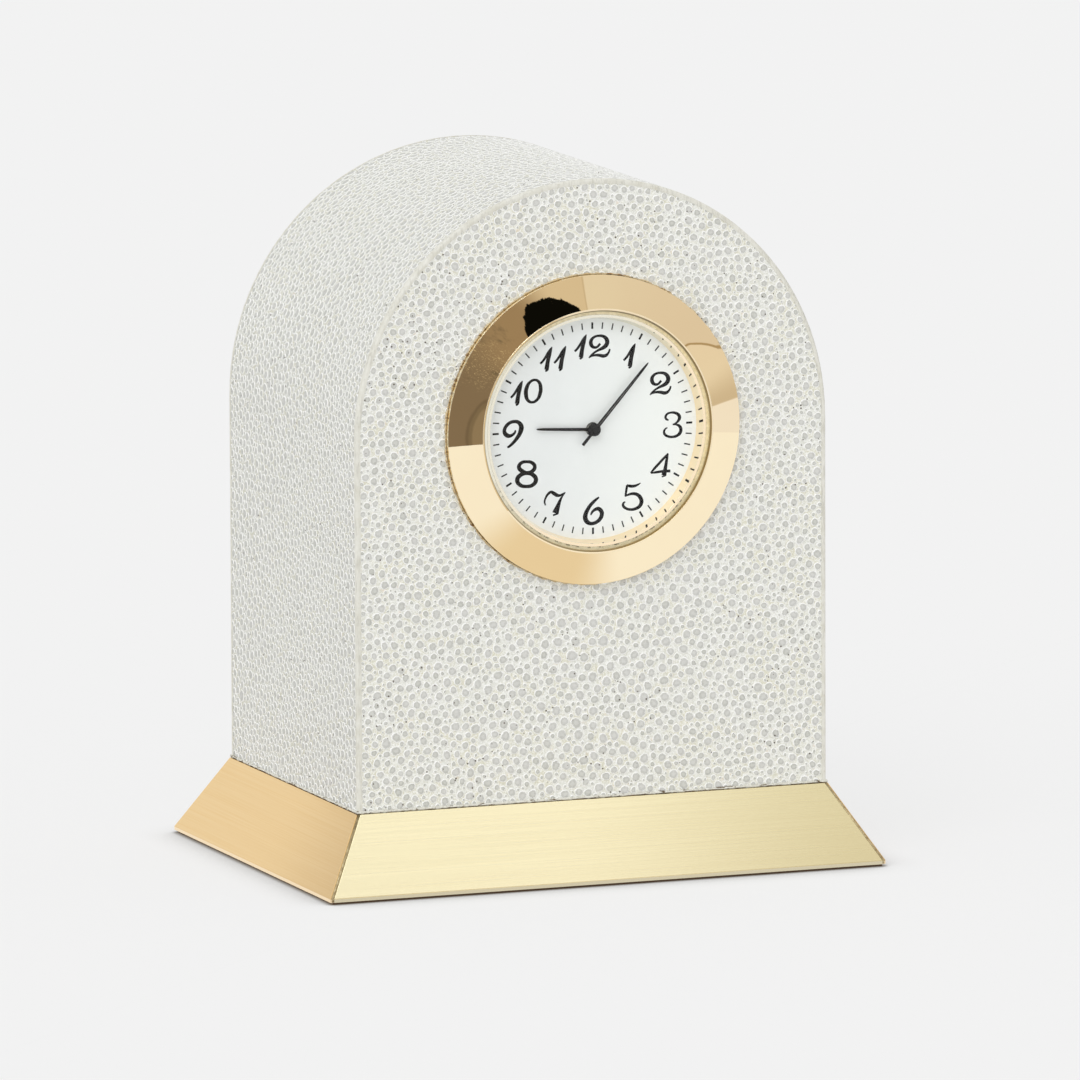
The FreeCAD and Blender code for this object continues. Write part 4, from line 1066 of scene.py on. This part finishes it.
def lower_right(tree, place, start, end):
    """0 at the dial's upper left, 1 at its lower right."""
    x, _, z = split(tree, place)
    raised = maths(tree, "SUBTRACT", z, dial_z * MM)
    lean = maths(tree, "SUBTRACT", times(tree, x, 0.75), times(tree, raised, 0.65))
    return fade(tree, lean, start * MM, end * MM)


def painted_reflection_across_ring(tree, place):
    return lower_right(tree, place, -12, 10)


gold = mirror_gold(
    "polished_gold", wide_clouds, tint(254, 239, 204), tint(253, 237, 202), 0.008, 0.022, 0.001
)
# Painted reflection: the ring is painted paler at its upper left and golden towards its lower right.
ring_gold_painted_reflection = mirror_gold(
    "ring_gold_painted_reflection", painted_reflection_across_ring, tint(238, 234, 216), tint(255, 236, 202), 0.004, 0.03, 0.0006
)
bezel = make_piece("bezel_ring", turned(bezel_profile), gold, "polished_gold", "insert", "bezel")
ease_edges(bezel, 0.05)
ring = make_piece(
    "dial_ring", turned(ring_profile), ring_gold_painted_reflection, "polished_gold", "insert", "inner_ring"
)
ease_edges(ring, 0.015)

# %% [markdown]
# ## Crystal and gasket
# The crystal is a flat disc of glass with an eased rim. It shows almost no glare in the
# photograph, so its index is set low. In Cycles a solid pane of glass would darken the dial,
# because light reaches it only by chance, so rays that carry diffuse light or shadow pass it as if
# it were clear, and only what is seen or mirrored is bent. The gasket is a yellowed plastic ring.
# Its colour carries painted light: paler on the left, warmer on the right and darker below. Along its
# inner edge below it has broken darker patches, and the groove at the rim is darkened as painted
# shade.

# %% Glass
def crystal_glass():
    finish, tree, shader, place = new_finish("crystal_glass")
    smear = fade(tree, grain(tree, place, 6, 3), 0.4, 0.8, 0.0, 0.01)
    set_shader(tree, shader, Base_Color=(1, 1, 1, 1), Roughness=smear)
    set_shader(tree, shader, IOR=1.24, Transmission_Weight=1.0)
    path = add(tree, "LightPath").outputs
    light = maths(tree, "MAXIMUM", path["Is Shadow Ray"], path["Is Diffuse Ray"])
    clear = add(tree, "BsdfTransparent", {0: (0.97, 0.98, 0.98, 1)}).outputs[0]
    mixed = add(tree, "MixShader", {0: light, 1: shader.outputs[0], 2: clear}).outputs[0]
    tree.links.new(mixed, tree.nodes["Material Output"].inputs[0])
    return finish


def gasket_plastic():
    finish, tree, shader, place = new_finish("clear_plastic")
    cloud = fade(tree, grain(tree, place, 0.5, 4, 0.7), 0.3, 0.7)
    x, _, z = split(tree, place)
    raised = maths(tree, "SUBTRACT", z, dial_z * MM)
    squares = maths(tree, "ADD", times(tree, x, x), times(tree, raised, raised))
    out = maths(tree, "SQRT", squares)
    colour = blend(tree, cloud, tint(250, 234, 192), tint(226, 208, 164))
    # Painted light: the gasket is paler on the left and warmer on the right.
    colour = blend(tree, fade(tree, x, -19 * MM, -9 * MM, 1.0, 0.0), colour, tint(254, 250, 234))
    painted_light_right = fade(tree, x, 4 * MM, 16 * MM)
    warmer = blend(tree, cloud, tint(255, 236, 188), tint(232, 210, 158))
    colour = blend(tree, painted_light_right, colour, warmer)
    # Painted shade: darker below.
    below = fade(tree, raised, -15 * MM, -4 * MM, 1.0, 0.0)
    colour = blend(tree, times(tree, below, 0.55), colour, tint(196, 184, 150))
    # Broken darker patches along the inner edge below.
    dark_patches = fade(tree, grain(tree, place, 0.7, 3, 0.7), 0.50, 0.58)
    inner_edge = fade(tree, out, 19.12 * MM, 19.36 * MM, 1.0, 0.0)
    inner_edge = times(tree, inner_edge, times(tree, dark_patches, below))
    colour = blend(tree, inner_edge, colour, tint(96, 84, 56))
    # Painted shade: the groove at the rim is darkened.
    painted_groove_shade = blend(tree, lower_right(tree, place, -6, 14), tint(150, 136, 102), tint(164, 144, 100))
    colour = blend(tree, fade(tree, out, 19.54 * MM, 19.60 * MM), colour, painted_groove_shade)
    set_shader(tree, shader, Base_Color=colour, Roughness=0.25, Normal=bump(tree, cloud, 0.02))
    set_shader(tree, shader, Coat_Weight=0.5, Coat_Roughness=0.1)
    return finish


# %% Profiles of the crystal and the gasket
crystal_radius, crystal_back, crystal_ease = 19.52, -2.08, 0.12
gasket_bore, gasket_inner, gasket_outer = 19.55, 19.06, rim_inner - 0.01
gasket_top, gasket_seat, gasket_step = crystal_front + 0.2, ledge_front - 0.005, ledge_front - 0.555
pane_profile = (
    (0, crystal_front), (crystal_radius - crystal_ease, crystal_front),
    (crystal_radius, crystal_front + crystal_ease), (crystal_radius, crystal_back), (0, crystal_back),
)
gasket_profile = (
    (gasket_bore, gasket_top), (gasket_outer, gasket_top), (gasket_outer, gasket_seat),
    (gasket_inner, gasket_seat), (gasket_inner, gasket_step), (gasket_bore, gasket_step),
)
pane = make_piece(
    "crystal_pane", turned(pane_profile), crystal_glass(), "crystal_glass", "insert", "crystal"
)
pane.data.set_sharp_from_angle(angle=sharp_angle)
gasket = make_piece(
    "gasket", turned(gasket_profile), gasket_plastic(), "clear_plastic", "insert", "crystal_gasket"
)
ease_edges(gasket, 0.01)

# %% [markdown]
# ## Dial, minute marks and numerals
# The dial is a thin disc in satin white lacquer. Its marks are printed, which is to say that they
# are flat and sharp: the sixty minute marks are thin slabs of one length, wider at the hours.
# The numerals are pen strokes that swell and thin, so each stroke is a curve with its own width at
# every point; the round tube that Blender makes of it is pressed flat like a film of ink.

# %% Lacquer and ink
def dial_lacquer():
    finish, tree, shader, place = new_finish("dial_white")
    cloud = fade(tree, grain(tree, place, 5, 3), 0.3, 0.7)
    x = split(tree, place)[0]
    colour = blend(tree, cloud, tint(241, 243, 242), tint(239, 241, 240))
    # Painted light: the lacquer is painted brighter towards the right.
    colour = blend(tree, fade(tree, x, -12 * MM, 15 * MM), colour, tint(251, 253, 249))
    fine = grain(tree, place, 0.08, 3, 0.6)
    set_shader(tree, shader, Base_Color=colour, Roughness=0.45, Normal=bump(tree, fine, 0.003))
    return finish


def black_lacquer(name, shine):
    finish, tree, shader, place = new_finish(name)
    speck = fade(tree, grain(tree, place, 0.15, 3, 0.6), 0.3, 0.8)
    colour = blend(tree, speck, tint(10, 10, 11), tint(20, 20, 21))
    rough = fade(tree, speck, 0, 1, 0.35, 0.5)
    set_shader(tree, shader, Base_Color=colour, Roughness=rough, Normal=bump(tree, speck, 0.004))
    set_shader(tree, shader, Specular_IOR_Level=shine)
    return finish


ink = black_lacquer("printing_ink", 0.1)
lacquer = black_lacquer("hand_black", 0.22)
dress(dial_lacquer(), "dial_white", "dial")
dress(lacquer, "hand_black", "centre_arbor")

# %% [markdown]
# ## The hands
# Both hands are stamped blades with a low ridge along the middle, blunt at the tip, on a round
# boss with turned rings. A blade is a grid of five points across by one row per station, so the
# ridge is real and catches the light, and gets its thickness by solidify.

# %% Blades and bosses
ridge_height = 0.06
boss_bore, boss_radius = 0.505, 1.03
minute_angle, hour_angle = 41.5, 273.4


def blade(stations, front, thick, ridge, clock_angle):
    """A blade from (distance, width) stations along its length, turned to its clock angle."""
    shape = bmesh.new()
    rows = len(stations)
    bmesh.ops.create_grid(shape, x_segments=rows - 1, y_segments=4, size=1.0)
    for vert in shape.verts:
        row = round((vert.co.x + 1) / 2 * (rows - 1))
        across = round((vert.co.y + 1) * 2) - 2
        distance, width = stations[row]
        lift = ridge * (1 - abs(across) / 2)
        vert.co = Vector((across / 4 * width, front + ridge - lift, distance)) * MM
    face_outwards(shape)
    if sum(face.normal.y for face in shape.faces) > 0:
        bmesh.ops.reverse_faces(shape, faces=shape.faces[:])
    bmesh.ops.solidify(shape, geom=shape.faces[:], thickness=(thick - ridge) * MM)
    rotate_shape(face_outwards(shape), clock_angle, "Y")
    bmesh.ops.translate(shape, verts=shape.verts[:], vec=(0, 0, dial_z * MM))
    return shape


def boss(front, thick):
    """A round boss with two turned grooves, in (radius, depth behind the face)."""
    front, back = front - face_y, front - face_y + thick
    dip, lip = front + 0.05, front + 0.02
    return turned((
        (boss_bore, front), (0.60, front), (0.64, dip), (0.72, dip), (0.76, front), (0.86, front),
        (0.90, dip), (0.94, dip), (0.96, lip), (1.00, lip), (boss_radius, front + 0.06),
        (boss_radius, back), (boss_bore, back),
    ))


def add_hand(name, stations, clock_angle, train, node):
    """Makes a hand's blade and boss as thick as its CAD node, and gives the place of its front."""
    low, high = (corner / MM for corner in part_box(node))
    front, thick = low.y, high.y - low.y
    flat_blade = blade(stations, front, thick, ridge_height, clock_angle)
    make_piece(name + "_blade", flat_blade, lacquer, "hand_black", train, node)
    make_piece(name + "_boss", boss(front, thick), lacquer, "hand_black", train)
    return front


minute_stations = (
    (-3.2, 0.54), (-0.9, 0.50), (0.9, 0.66), (7.0, 0.58), (12.6, 0.46), (13.7, 0.32), (14.1, 0.12)
)
hour_stations = ((0.6, 0.54), (4.0, 0.52), (9.0, 0.44), (9.8, 0.30), (10.0, 0.12))
minute_front = add_hand("minute", minute_stations, minute_angle, "minute_train", "minute_hand")
add_hand("hour", hour_stations, hour_angle, "hour_train", "hour_hand")

# %% Painted highlight along the minute hand's ridge
def painted_ridge_highlight():
    finish, tree, shader, place = new_finish("painted_ridge_highlight")
    highlight_patches = fade(tree, grain(tree, place, 0.8, 3, 0.7), 0.35, 0.65)
    colour = blend(tree, highlight_patches, tint(150, 148, 143), tint(90, 88, 85))
    set_shader(tree, shader, Base_Color=colour, Roughness=0.4, Normal=bump(tree, highlight_patches, 0.004))
    return finish


# Painted highlight: a thin pale strip along the minute hand's ridge.
ridge_line = ((1.05, 0.08), (7.0, 0.07), (11.0, 0.04))
ridge_shape = blade(ridge_line, minute_front - 0.004, 0.02, 0.004, minute_angle)
make_piece("minute_ridge_highlight", ridge_shape, painted_ridge_highlight(), "hand_black", "minute_train")

# %% Minute marks
dial_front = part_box("dial")[0].y / MM
ink_film = 0.012
print_lift = 0.13
mark_outer, mark_length = 17.40, 1.07
hour_mark, minute_mark = 0.33, 0.215


def minute_marks():
    shape = bmesh.new()
    for minute in range(60):
        width = hour_mark if minute % 5 == 0 else minute_mark
        size = Matrix.Diagonal((width * MM, ink_film * MM, mark_length * MM, 1))
        out = Matrix.Translation((0, 0, (mark_outer - mark_length / 2) * MM))
        spin = Matrix.Rotation(math.radians(6 * minute), 4, "Y")
        middle_of_ink = (dial_front - ink_film / 2) * MM
        centre = Matrix.Translation((0, middle_of_ink, (dial_z + print_lift) * MM))
        bmesh.ops.create_cube(shape, size=1.0, matrix=centre @ spin @ out @ size)
    return shape


marks = make_piece("minute_marks", minute_marks(), ink, "hand_black", "insert")
marks.data.set_sharp_from_angle(angle=sharp_angle)

# %% Pen strokes of each digit
# Whether the stroke is closed, then its points as (right, up, width), in millimetres.
DIGITS = {
    "0": [
        (True, [(.33, 1.83, .31), (.99, 1.45, .39), (1.29, .53, .49), (1.18, -.47, .49),
            (.71, -1.39, .39), (-.22, -1.81, .31), (-.95, -1.42, .41), (-1.26, -.39, .54),
            (-1.14, .60, .51), (-.54, 1.53, .36)]),
    ],
    "1": [
        (False, [(-1.00, -.69, .28), (-.53, -.24, .31), (-.07, .36, .33), (.40, 1.09, .33),
            (.74, 1.57, .26), (1.06, 1.96, .14)]),
        (False, [(1.04, 1.93, .12), (.80, 1.35, .36), (.58, .70, .50), (.39, .02, .51),
            (.24, -.72, .54), (.14, -1.34, .58), (.07, -1.72, .57)]),
        (False, [(-.15, -1.96, .22), (.07, -1.86, .28), (.33, -1.70, .22)]),
    ],
    "2": [
        (False, [(.09, .45, .30), (-.14, .18, .31), (-.47, -.09, .30), (-.94, -.12, .35),
            (-1.34, .12, .45), (-1.52, .53, .50), (-1.47, 1.03, .45), (-1.17, 1.43, .35),
            (-.67, 1.68, .30), (-.07, 1.74, .31), (.53, 1.65, .37), (1.00, 1.37, .46),
            (1.26, .98, .54), (1.32, .57, .57), (1.09, .08, .54), (.59, -.27, .46),
            (-.08, -.55, .33), (-.68, -.83, .27), (-1.14, -1.12, .26), (-1.51, -1.41, .22),
            (-1.88, -1.80, .15)]),
        (False, [(-1.88, -1.80, .13), (-1.55, -1.57, .23), (-1.08, -1.44, .27), (-.48, -1.41, .33),
            (.12, -1.50, .40), (.65, -1.62, .44), (1.12, -1.52, .39), (1.46, -1.23, .30),
            (1.66, -.89, .26), (1.76, -.52, .22)]),
    ],
    "3": [
        (False, [(-.69, .76, .18), (-1.09, .94, .28), (-1.23, 1.34, .33), (-.96, 1.77, .28),
            (-.36, 1.97, .26), (.38, 1.91, .33), (.98, 1.59, .41), (1.21, 1.13, .44),
            (1.02, .61, .36), (.58, .22, .23), (.04, .01, .15)]),
        (False, [(.01, .01, .18), (.71, -.05, .26), (1.24, -.38, .39), (1.44, -.90, .44),
            (1.28, -1.45, .44), (.77, -1.87, .36), (.03, -2.03, .31), (-.77, -1.92, .31),
            (-1.37, -1.54, .33), (-1.50, -1.07, .31), (-1.26, -.65, .23), (-.90, -.44, .15)]),
    ],
    "4": [
        (False, [(1.41, 1.85, .20), (.61, 1.07, .33), (-.19, .30, .33), (-.99, -.48, .33),
            (-1.67, -1.20, .20)]),
        (False, [(-1.67, -1.23, .17), (-.77, -1.14, .31), (.39, -1.05, .33), (1.77, -1.06, .36)]),
        (False, [(1.37, 1.82, .20), (1.18, 1.04, .36), (.99, -.04, .42), (.81, -.99, .53),
            (.63, -1.73, .67)]),
        (False, [(.27, -1.94, .17), (.94, -1.75, .22)]),
    ],
    "5": [
        (False, [(-1.01, 1.93, .25), (-.40, 1.76, .39), (.30, 1.73, .36), (.95, 1.93, .25),
            (1.40, 2.16, .11)]),
        (False, [(-.94, 1.92, .31), (-1.10, 1.03, .31), (-1.25, .09, .25)]),
        (False, [(-1.30, .12, .17), (-.72, .36, .28), (.00, .48, .36), (.80, .30, .42),
            (1.35, -.23, .50), (1.56, -.90, .53), (1.30, -1.56, .47), (.57, -2.00, .39),
            (-.30, -2.11, .33), (-1.17, -1.86, .33), (-1.63, -1.42, .36), (-1.61, -1.01, .28),
            (-1.28, -.77, .17)]),
    ],
    "6": [
        (False, [(1.00, 2.17, .21), (.61, 1.92, .31), (.05, 1.48, .41), (-.54, .91, .45),
            (-1.02, .23, .50), (-1.34, -.42, .57), (-1.44, -.99, .61), (-1.32, -1.47, .60),
            (-1.02, -1.83, .54), (-.52, -2.07, .45), (.09, -2.05, .43), (.71, -1.80, .45),
            (1.18, -1.37, .49), (1.43, -.87, .53), (1.46, -.41, .55), (1.24, .01, .54),
            (.85, .28, .49), (.38, .21, .40), (-.07, -.06, .32), (-.34, -.40, .27),
            (-.45, -.71, .16)]),
    ],
    "7": [
        (False, [(-1.64, -.22, .18), (-1.80, .32, .23), (-1.61, 1.00, .26), (-1.21, 1.59, .31),
            (-.66, 1.91, .36), (-.14, 1.63, .46), (.39, 1.32, .44), (.88, 1.27, .31),
            (1.39, 1.52, .18), (1.85, 1.72, .12)]),
        (False, [(1.79, 1.68, .12), (1.23, 1.02, .23), (.83, .29, .39), (.48, -.57, .59),
            (.18, -1.31, .80), (.07, -1.61, .85)]),
        (False, [(-.35, -1.93, .23), (.51, -1.70, .21)]),
    ],
    "8": [
        (True, [(.04, 2.02, .36), (1.01, 1.76, .44), (1.43, 1.11, .49), (1.07, .48, .49),
            (.20, .18, .46), (-.73, .51, .51), (-1.32, 1.18, .54), (-.96, 1.85, .44)]),
        (True, [(.20, .13, .46), (1.20, -.28, .54), (1.62, -1.06, .57), (1.12, -1.81, .49),
            (-.08, -2.03, .41), (-1.20, -1.68, .49), (-1.63, -.87, .59), (-1.10, -.13, .54)]),
    ],
    "9": [
        (False, [(.41, .65, .19), (.38, .38, .27), (.19, .10, .31), (-.11, -.11, .35),
            (-.50, -.25, .44), (-.90, -.20, .54), (-1.28, .05, .55), (-1.49, .44, .50),
            (-1.47, .86, .45), (-1.24, 1.32, .44), (-.84, 1.72, .44), (-.35, 1.98, .41),
            (.20, 2.06, .41), (.75, 1.99, .44), (1.15, 1.71, .52), (1.40, 1.31, .61),
            (1.45, .89, .65), (1.34, .45, .61), (1.12, -.06, .54), (.76, -.59, .49),
            (.39, -1.04, .44), (-.06, -1.48, .39), (-.51, -1.86, .34), (-.99, -2.14, .26)]),
    ],
}
# Each digit's middle on the dial, to the right of and above the centre.
NUMERALS = (
    ("1", 6.45, 11.54), ("2", 11.90, 6.73), ("3", 13.97, -0.16), ("4", 11.78, -6.72),
    ("5", 6.93, -11.63), ("6", 0.09, -13.56), ("7", -6.61, -11.97), ("8", -11.52, -6.86),
    ("9", -13.85, -0.19),
    ("1", -13.21, 6.49), ("0", -10.31, 6.67), ("1", -8.06, 11.78), ("1", -5.65, 11.78),
    ("1", -2.07, 13.48), ("2", 1.27, 13.39),
)


# %% Numerals as flattened pen strokes
pen_swell = 1.34


def write_numerals():
    pen = bpy.data.curves.new("pen", "CURVE")
    pen.dimensions = "3D"
    pen.bevel_depth = 0.5 * MM
    pen.bevel_resolution = 2
    pen.resolution_u = 5
    pen.use_fill_caps = True
    for digit, across, up in NUMERALS:
        for closed, points in DIGITS[digit]:
            stroke = pen.splines.new("BEZIER")
            stroke.bezier_points.add(len(points) - 1)
            stroke.use_cyclic_u = closed
            for knot, (right_of, above_of, width) in zip(stroke.bezier_points, points):
                height = dial_z + print_lift + up + above_of
                knot.co = ((across + right_of) * MM, 0, height * MM)
                knot.radius = width * pen_swell
                knot.handle_left_type = knot.handle_right_type = "AUTO"
    shape = shape_of_curve(pen)
    bmesh.ops.scale(shape, verts=shape.verts[:], vec=(1, ink_film / 0.5, 1))
    middle_of_ink = (dial_front - ink_film / 2) * MM
    bmesh.ops.translate(shape, verts=shape.verts[:], vec=(0, middle_of_ink, 0))
    return close_seams(shape, same_point)


make_piece("numerals", write_numerals(), ink, "hand_black", "insert")

# %% [markdown]
# ## Finishes of the parts inside
# The movement, the wooden core and the small hardware show when the insert is drawn out or the
# back cover is off. Their CAD solids have the right shapes, so each gets a finish of its own.

# %% Wood, plastics, rubber
def core_wood():
    finish, tree, shader, place = new_finish("core_wood")
    fibres = grain(tree, stretch(tree, place, 1, 1, 0.25), 0.5, 5, 0.75)
    chips = grain(tree, place, 2.2, 4, 0.6)
    colour = blend(tree, fade(tree, chips, 0.3, 0.7), tint(196, 160, 116), tint(172, 134, 92))
    dark_fibres = fade(tree, fibres, 0.45, 0.75)
    colour = blend(tree, times(tree, dark_fibres, 0.4), colour, tint(132, 98, 62))
    set_shader(tree, shader, Base_Color=colour, Roughness=0.8, Normal=bump(tree, fibres, 0.06))
    return finish


def moulded_plastic(name, pale, deep, rough):
    finish, tree, shader, place = new_finish(name)
    spark = grain(tree, place, 0.25, 4, 0.7)
    flow = fade(tree, grain(tree, place, 4, 3), 0.3, 0.7)
    colour = blend(tree, flow, pale, deep)
    uneven = fade(tree, spark, 0.3, 0.7, rough - 0.08, rough + 0.08)
    set_shader(tree, shader, Base_Color=colour, Roughness=uneven, Normal=bump(tree, spark, 0.01))
    return finish


def plain_metal(name, pale, deep, rough):
    finish, tree, shader, place = new_finish(name)
    lathe = grain(tree, stretch(tree, place, 1, 1, 1), 0.3, 4, 0.7)
    colour = blend(tree, fade(tree, grain(tree, place, 2, 3), 0.3, 0.7), pale, deep)
    uneven = fade(tree, lathe, 0.3, 0.7, rough - 0.06, rough + 0.10)
    normal = bump(tree, lathe, 0.006)
    set_shader(tree, shader, Base_Color=colour, Metallic=1.0, Roughness=uneven, Normal=normal)
    return finish


wire_pitch, track_pitch = 0.25, 3.0


def copper_winding():
    finish, tree, shader, place = new_finish("copper_wire")
    wires = {"Vector": place, "Scale": 1 / (wire_pitch * MM), "Distortion": 0.6}
    thread = add(tree, "TexWave", wires, bands_direction="X").outputs[1]
    colour = blend(tree, thread, tint(156, 84, 50), tint(216, 140, 96))
    normal = bump(tree, thread, 0.03)
    set_shader(tree, shader, Base_Color=colour, Metallic=1.0, Roughness=0.3, Normal=normal)
    set_shader(tree, shader, Coat_Weight=0.4)
    return finish


def circuit_green():
    finish, tree, shader, place = new_finish("board_green")
    wires = {"Vector": place, "Scale": 1 / (track_pitch * MM), "Mortar Size": 0.06}
    tracks = add(tree, "TexBrick", wires).outputs["Fac"]
    weave = grain(tree, place, 0.2, 3, 0.6)
    colour = blend(tree, weave, tint(28, 96, 58), tint(40, 120, 70))
    colour = blend(tree, times(tree, tracks, 0.5), colour, tint(70, 146, 84))
    set_shader(tree, shader, Base_Color=colour, Roughness=0.35, Normal=bump(tree, tracks, 0.02))
    set_shader(tree, shader, Coat_Weight=0.3)
    return finish


# %% Dress the inner nodes
dress(core_wood(), "core_wood", "plinth_core", "core_front_board", "core_frame",
      "core_back_board", "core_dowels")
black = moulded_plastic("black_plastic", tint(44, 44, 46), tint(36, 36, 38), 0.5)
white = moulded_plastic("white_plastic", tint(234, 232, 224), tint(226, 223, 212), 0.4)
rubber = moulded_plastic("grip_rubber", tint(50, 49, 48), tint(40, 40, 40), 0.75)
dress(black, "black_plastic", "case_cup", "front_plate", "bridge_plate", "back_cover",
      "circuit_chip", "setting_knob")
dress(white, "white_plastic", "coil_bobbin", "cannon_pinion", "centre_wheel", "minute_wheel",
      "hour_wheel", "third_wheel", "rotor_pinion", "setting_stem")
dress(rubber, "grip_rubber", "grip_ring")
steel = plain_metal("steel", tint(216, 216, 216), tint(196, 196, 198), 0.28)
contact = plain_metal("contact_brass", tint(232, 206, 140), tint(214, 186, 118), 0.30)
magnet = plain_metal("magnet_steel", tint(128, 128, 132), tint(104, 104, 110), 0.45)
dress(steel, "steel", "plinth_screws", "plate_screws", "stator", "coil_core", "coil_screws",
      "quartz_can", "button_cell")
dress(contact, "contact_brass", "battery_contacts")
dress(magnet, "magnet_steel", "rotor_magnet")
dress(copper_winding(), "copper_wire", "coil_winding")
dress(circuit_green(), "board_green", "circuit_board")

# %% [markdown]
# ## Size, and the last line
# The dressed model's box is printed beside the CAD model's box. The visual model has to
# stay inside the CAD model's box.

# %% Size of the CAD model and of the dressed one
dressed_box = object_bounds()
for name, (low, high) in (("cad", cad_box), ("visual", dressed_box)):
    print(name, [round(v / MM, 2) for v in low], [round(v / MM, 2) for v in high])
